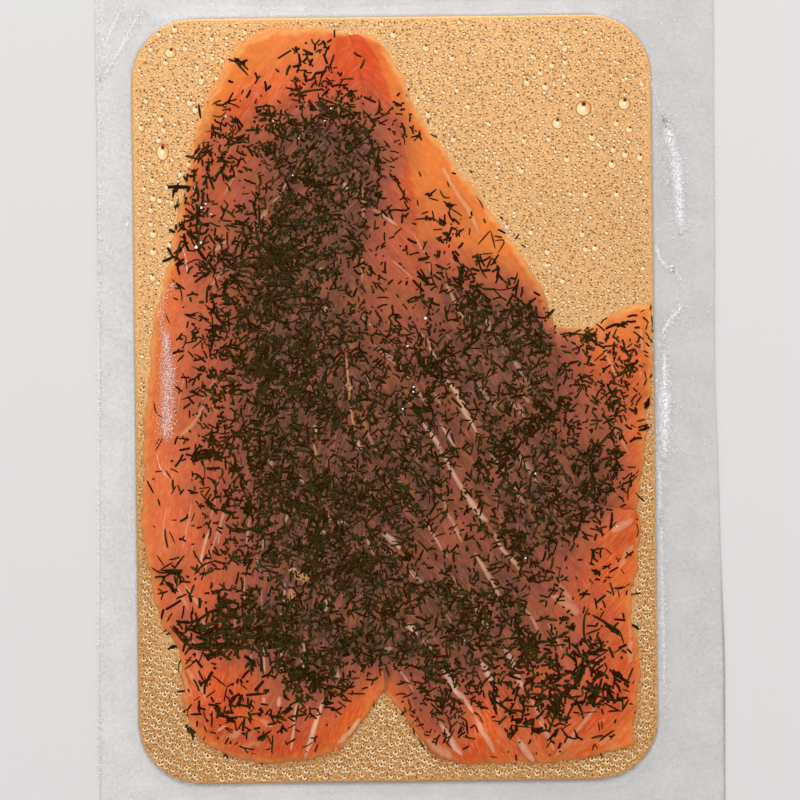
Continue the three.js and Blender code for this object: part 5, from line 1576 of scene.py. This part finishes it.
height = np.where(edge < HEM_WIDE, hemmed, height)
upper = np.column_stack([board_x.ravel(), film_y.ravel(), height.ravel()])
lower = upper * (1, 1, 0)
film_points, film_faces = two_sheets(upper, lower, ACROSS, ALONG)
margin = smooth(away / 1.5).ravel()
weld = (1 - smooth((edge - 0.2) / 0.9)).ravel()
# A band close beside the board that carries a painted highlight where the film bends over its edge.
board_edge_highlight = (smooth(away / 0.2) * (1 - smooth((away - 0.4) / 1.2))).ravel()
film_values = {"margin": np.concatenate([margin, np.ones(margin.size)]),
               "weld": np.concatenate([weld, weld]), "board_edge_highlight": np.concatenate([board_edge_highlight, np.zeros(board_edge_highlight.size)])}

# %% [markdown]
# ## Clear film
#
# Film lets nearly all the light straight through and adds a gloss that grows where it is seen at a
# slant. Where its two webs lie together it is a little milky, more so in the weld. Close beside the
# board, where the film bends over its edge, a pale band is a painted highlight. So the material mixes a
# transparent and a glossy shader by a part of the Fresnel share, plus a thin haze in the margins.

# %% Film material
clear, w = material("clear_film")
place = w.here()
margin, weld, board_edge_highlight = (w.attribute(key) for key in ("margin", "weld", "board_edge_highlight"))
gloss = w.node("ShaderNodeFresnel", inputs={"IOR": 1.12})
milky = w.plus(0.85, w.times(w.noise(place, 180, 4, 0.6), 0.3))
haze = w.plus(w.times(margin, 0.21, milky), w.plus(w.times(weld, 0.22), w.times(board_edge_highlight, 0.18)))
share = w.plus(w.times(gloss, 0.3), haze, clamp=True)
hazy = w.mix(w.span(w.part(place, 0), -0.04, 0.06), (240, 237, 234), (218, 214, 212))
hazy = w.mix(weld, hazy, (176, 174, 174))
# Painted highlight beside the board's edge.
hazy = w.over(hazy, board_edge_highlight, 0.8, (248, 246, 248))
hazy = mottle(w, hazy, 0.2, 0.7, 120.0, 1200.0)
crinkle = w.bump(w.noise(place, 260, 4), 0.25, 0.0004)
w.surface(w.sheer(share, w.principled({"Base Color": hazy, "Roughness": 0.12, "Normal": crinkle})))
hand_over(build("film", film_points, film_faces, film_values, clear), "film", "pouch")

# %% [markdown]
# ## Creases, drops and painted glints on the film
#
# Where the two webs lie together they pucker, and a crease reflects the light as a bright streak. The
# film also shines on the steep left rim of the fish. Each such streak is a painted highlight: a thin,
# nearly white strip laid on the film along a few places, with a section like a fat line's, strongest in
# its middle. It lets the light that casts shadows through, because it shines and doesn't shade.

# %% Creases
FILM_SURFACE = FILM_TOP + wrinkle(GX + BOARD["middle_x"], GY) * smooth(out_of_board / 2) + 0.02
CREASES = [  # width, strength, x,y of each place
    (1.3, 0.25, 69.5,86.6, 70.5,83.4, 72.3,77.7, 74.1,73.4, 75.4,69),
    (5.4, 0.62, 73.4,75.6, 75.8,66.5, 76.8,60.5, 77.1,54.7, 77.8,43),
    (1.3, 0.45, 70.8,41.5, 71.4,38, 73.2,35.4, 76,33.6), (1.4, 0.25, 75,35, 77.2,31.8, 78.4,27.6),
    (1.6, 0.55, 78,25, 76.8,23, 74.8,21, 73,18.2, 71.8,15.6), (4.0, 0.6, 72.6,14, 72.8,5, 72.7,-6.7, 72.3,-18),
    (1.4, 0.4, 71.2,-18, 71.2,-26, 71.2,-34), (1.6, 0.3, 71.4,-30, 71.6,-60, 71.9,-84),
    (2.0, 0.4, -66.5,106.4, -70.3,100.5, -73.9,93.6, -78.5,86.7), (1.8, 0.35, -72.1,107, -76.5,97.9, -77.6,94),
    (0.9, 0.3, -71.2,50, -72.6,44), (1.1, 0.25, -78.4,107, -79.4,30, -80.4,-50, -80.8,-101),
    (1.4, 0.2, -71.4,30, -71.8,-10, -72,-60), (0.5, 0.7, -64.3,-13, -63.2,-17.8, -60.4,-21),
    (0.5, 0.7, -56.8,42.2, -55.7,38, -55.4,34.4), (0.45, 0.6, -52.8,58.9, -53.6,55.8),
    (5.4, 0.2, -61.6,23, -61.2,14, -61,3, -61.6,-12),
]
RISE_CREASE = np.array([-0.02, 0.02, 0.05, 0.06, 0.05, 0.02, -0.02, -0.06])
crease_lines = paths([crease[2:] for crease in CREASES], STATIONS)


def crease_strips(creases, rng):
    """Points, faces and values of the creases: the half width swells as the root of a sine, and the
    strength fades out at both ends."""
    x, y, turn = crease_lines
    t = np.linspace(0, 1, STATIONS)
    half = column(creases, 0) * (0.2 + 0.8 * np.sqrt(np.sin(np.pi * t))) / 2
    half = half * uneven(len(creases), STATIONS, 0.7, 1.3, rng)
    shown = column(creases, 1) * uneven(len(creases), STATIONS, 0.7, 1.2, rng)
    px, py = sideways(x, y, turn, half, np.append(ACROSS_STRIP, 0))
    pz = sample(FILM_SURFACE, px, py) + RISE_CREASE
    shown = (shown * smooth(np.minimum(t, 1 - t) * 6))[..., None] * np.append(SHOWN_STRIP ** 2, 0)
    faces = strip_faces(len(creases), STATIONS, len(ACROSS_STRIP))
    return np.stack([px, py, pz], axis=-1).reshape(-1, 3), faces, {"shown": shown.ravel()}


# Painted highlight: a nearly white strip, shown by the share on its points.
bright, w = material("painted_film_highlight")
fleck = w.span(w.noise(w.here(), 2200, 2), 0.4, 0.62, 0.35, 1.4)
lit_through = w.less(1.0, w.node("ShaderNodeLightPath", 1))
share = w.times(w.attribute("shown"), fleck, lit_through, clamp=True)
w.surface(w.sheer(share, w.principled({"Base Color": (252, 250, 252), "Roughness": 0.6,
                                       "Specular IOR Level": 0.1})))
hand_over(build("film_highlight_strips", *crease_strips(CREASES, np.random.default_rng(12)), bright), "film")

# %% [markdown]
# Water has condensed on and between the webs in drops smaller than half a millimetre, and the film's
# crinkles throw small glints: along the bold creases, here and there in the margins, in a thick mist of
# glints on the shining left rim of the fish, and a few larger ones on the fish. Each is a small dome on
# the film, nearly white, partly a drop and partly a painted glint, and a fine one takes the colour of
# the fish under it.

# %% Places of the drops and painted glints
DEWY = 12  # the creases that carry drops and painted glints, from the first
RIM_GLARE = ([-13, 3, 10, 17, 22, 27, 32], [-61.6, -60.8, -61, -61.5, -62.9, -62, -59])  # y, and x of its middle
RIM_GLARE_WIDE = ([8, 20], [1.9, 0.7])
DOTS = [  # x, y, radius
    (8.5, 21.6, .45), (3.6, 14.2, .3), (5.1, 3.2, .28), (5, 1.9, .28), (2.1, -2.7, .3), (37.5, -20.4, .28),
    (34.6, -43.1, .3), (59.3, -34.9, .22), (-26.7, 60.4, .22), (-31.8, 75, .22), (-25, 70.3, .22),
    (-18, 75, .22), (-16.3, 78.3, .22), (-52.9, 41.4, .5), (-51.6, 42.6, .35), (-51.4, 52, .4),
    (-50.2, 53, .3), (-48.8, 50.2, .25), (-44.6, 76.4, .25)]
drop_rng = np.random.default_rng(23)


def drops_along(crease, length):
    """Drops and painted glints strewn along a crease, more of them on a strong one."""
    wide, strength, *chain = crease
    count = int(length * (0.6 + 22 * strength ** 2))
    spots = even(pairs(chain), drop_rng.random(count)) + drop_rng.normal(0, 0.36 * wide, (count, 2))
    return spots, 0.09 + 0.11 * drop_rng.random(count)


def drops_in_margin():
    """Drops and painted glints strewn evenly over the pouch and kept where they lie off the board."""
    spots = drop_rng.random((900, 2)) * (168, 246) - (84 + BOARD["middle_x"], 123)
    spots = spots[sample(out_of_board, *spots.T) > 0.8]
    return spots, 0.1 + 0.12 * drop_rng.random(len(spots))


def glints_on_rim():
    """The painted glare on the left rim, a mist of specks: kept with a chance that is a bell across its middle
    line.
    """
    spots = drop_rng.random((3600, 2)) * (8.5, 45) + (-66.5, -13)
    x, y = spots.T
    chance = np.exp(-((x - np.interp(y, *RIM_GLARE)) / np.interp(y, *RIM_GLARE_WIDE)) ** 2) * smooth((y + 13) / 7)
    spots = spots[drop_rng.random(len(spots)) < chance]
    return spots, 0.1 + 0.1 * drop_rng.random(len(spots))


lengths = np.hypot(np.diff(crease_lines[0], axis=1), np.diff(crease_lines[1], axis=1)).sum(axis=1)
drop_sets = [drops_along(crease, length) for crease, length in zip(CREASES[:DEWY], lengths)]
drop_sets += [drops_in_margin(), glints_on_rim(), (np.array(DOTS)[:, :2], np.array(DOTS)[:, 2])]
places, sizes = (np.concatenate(parts) for parts in zip(*drop_sets))
print("drops on the film:", len(sizes))

# %% Drops and painted glints
FINE_DROP = 0.21
points, faces, values = beads(*places.T, sizes, 6, (0.7, 1.0), 0.3, bed=FILM_SURFACE)
fine = np.repeat(sizes < FINE_DROP, len(points) // len(sizes))
values["warm"] = sample(ON_FISH.astype(float), points[:, 0], points[:, 1]) * fine
drop_and_glint_look, w = material("drop_and_glint")
pick = w.attribute("pick")
# Nearly white domes: partly drops, partly painted glints; a fine one over the fish is painted in a warm tint.
white = w.mix(pick, (232, 228, 226), (252, 250, 250))
warm = w.mix(pick, (232, 160, 124), (246, 208, 188))
w.surface(w.principled({"Base Color": w.mix(w.attribute("warm"), white, warm), "Roughness": 0.3}))
hand_over(build("film_drops_and_glints", points, faces, values, drop_and_glint_look), "water")

# %% [markdown]
# ## Floor, light and camera
#
# A pale floor, a large soft light from the head side and a pale room. The camera looks straight down
# through a long lens, turned a little, as the photograph is.

# %% Stage
FLOOR_REACH, FLOOR_DROP = 900.0, 0.05
floor_look, w = material("pale_floor")
w.surface(w.principled({"Base Color": (212, 210, 208), "Roughness": 0.9}))
floor_points = np.array([(-1, -1, 0), (1, -1, 0), (1, 1, 0), (-1, 1, 0)]) * FLOOR_REACH - (0, 0, FLOOR_DROP)
floor_piece = build("floor", floor_points, [[0, 1, 2, 3]], {}, floor_look)

ROOM_LIGHT = 0.85
world = bpy.data.worlds.new("pale_room")
bpy.context.scene.world = world
world.use_nodes = True
background = world.node_tree.nodes["Background"]
background.inputs[0].default_value = (*colour(236, 236, 238), 1)
background.inputs[1].default_value = ROOM_LIGHT

# %% The lamp
LAMP_POWER, LAMP_SIZE = 16.2, 0.9
LAMP_PLACE = (-0.07, 1.0, 1.3)
lamp = bpy.data.lights.new("head_light", "AREA")
lamp.energy, lamp.size = LAMP_POWER, LAMP_SIZE
head_light = bpy.data.objects.new("head_light", lamp)
bpy.context.scene.collection.objects.link(head_light)
head_light.location = LAMP_PLACE
off_upright = math.atan2(math.hypot(LAMP_PLACE[0], LAMP_PLACE[1]), LAMP_PLACE[2])
head_light.rotation_euler = (off_upright, 0, math.atan2(LAMP_PLACE[0], -LAMP_PLACE[1]))

# %% The camera
DISTANCE, FRAME_WIDTH, SENSOR = 1.4, 0.21555, 36
lens_camera = bpy.data.cameras.new("camera")
camera = bpy.data.objects.new("camera", lens_camera)
bpy.context.scene.collection.objects.link(camera)
lens_camera.sensor_width = SENSOR
lens_camera.lens = SENSOR * DISTANCE / FRAME_WIDTH
camera.location = (-0.00201, -0.00025, DISTANCE + BOARD_TOP * MM)
camera.rotation_euler = (0, 0, math.radians(-0.65))
bpy.context.scene.camera = camera
bpy.context.scene.view_settings.view_transform = "Standard"
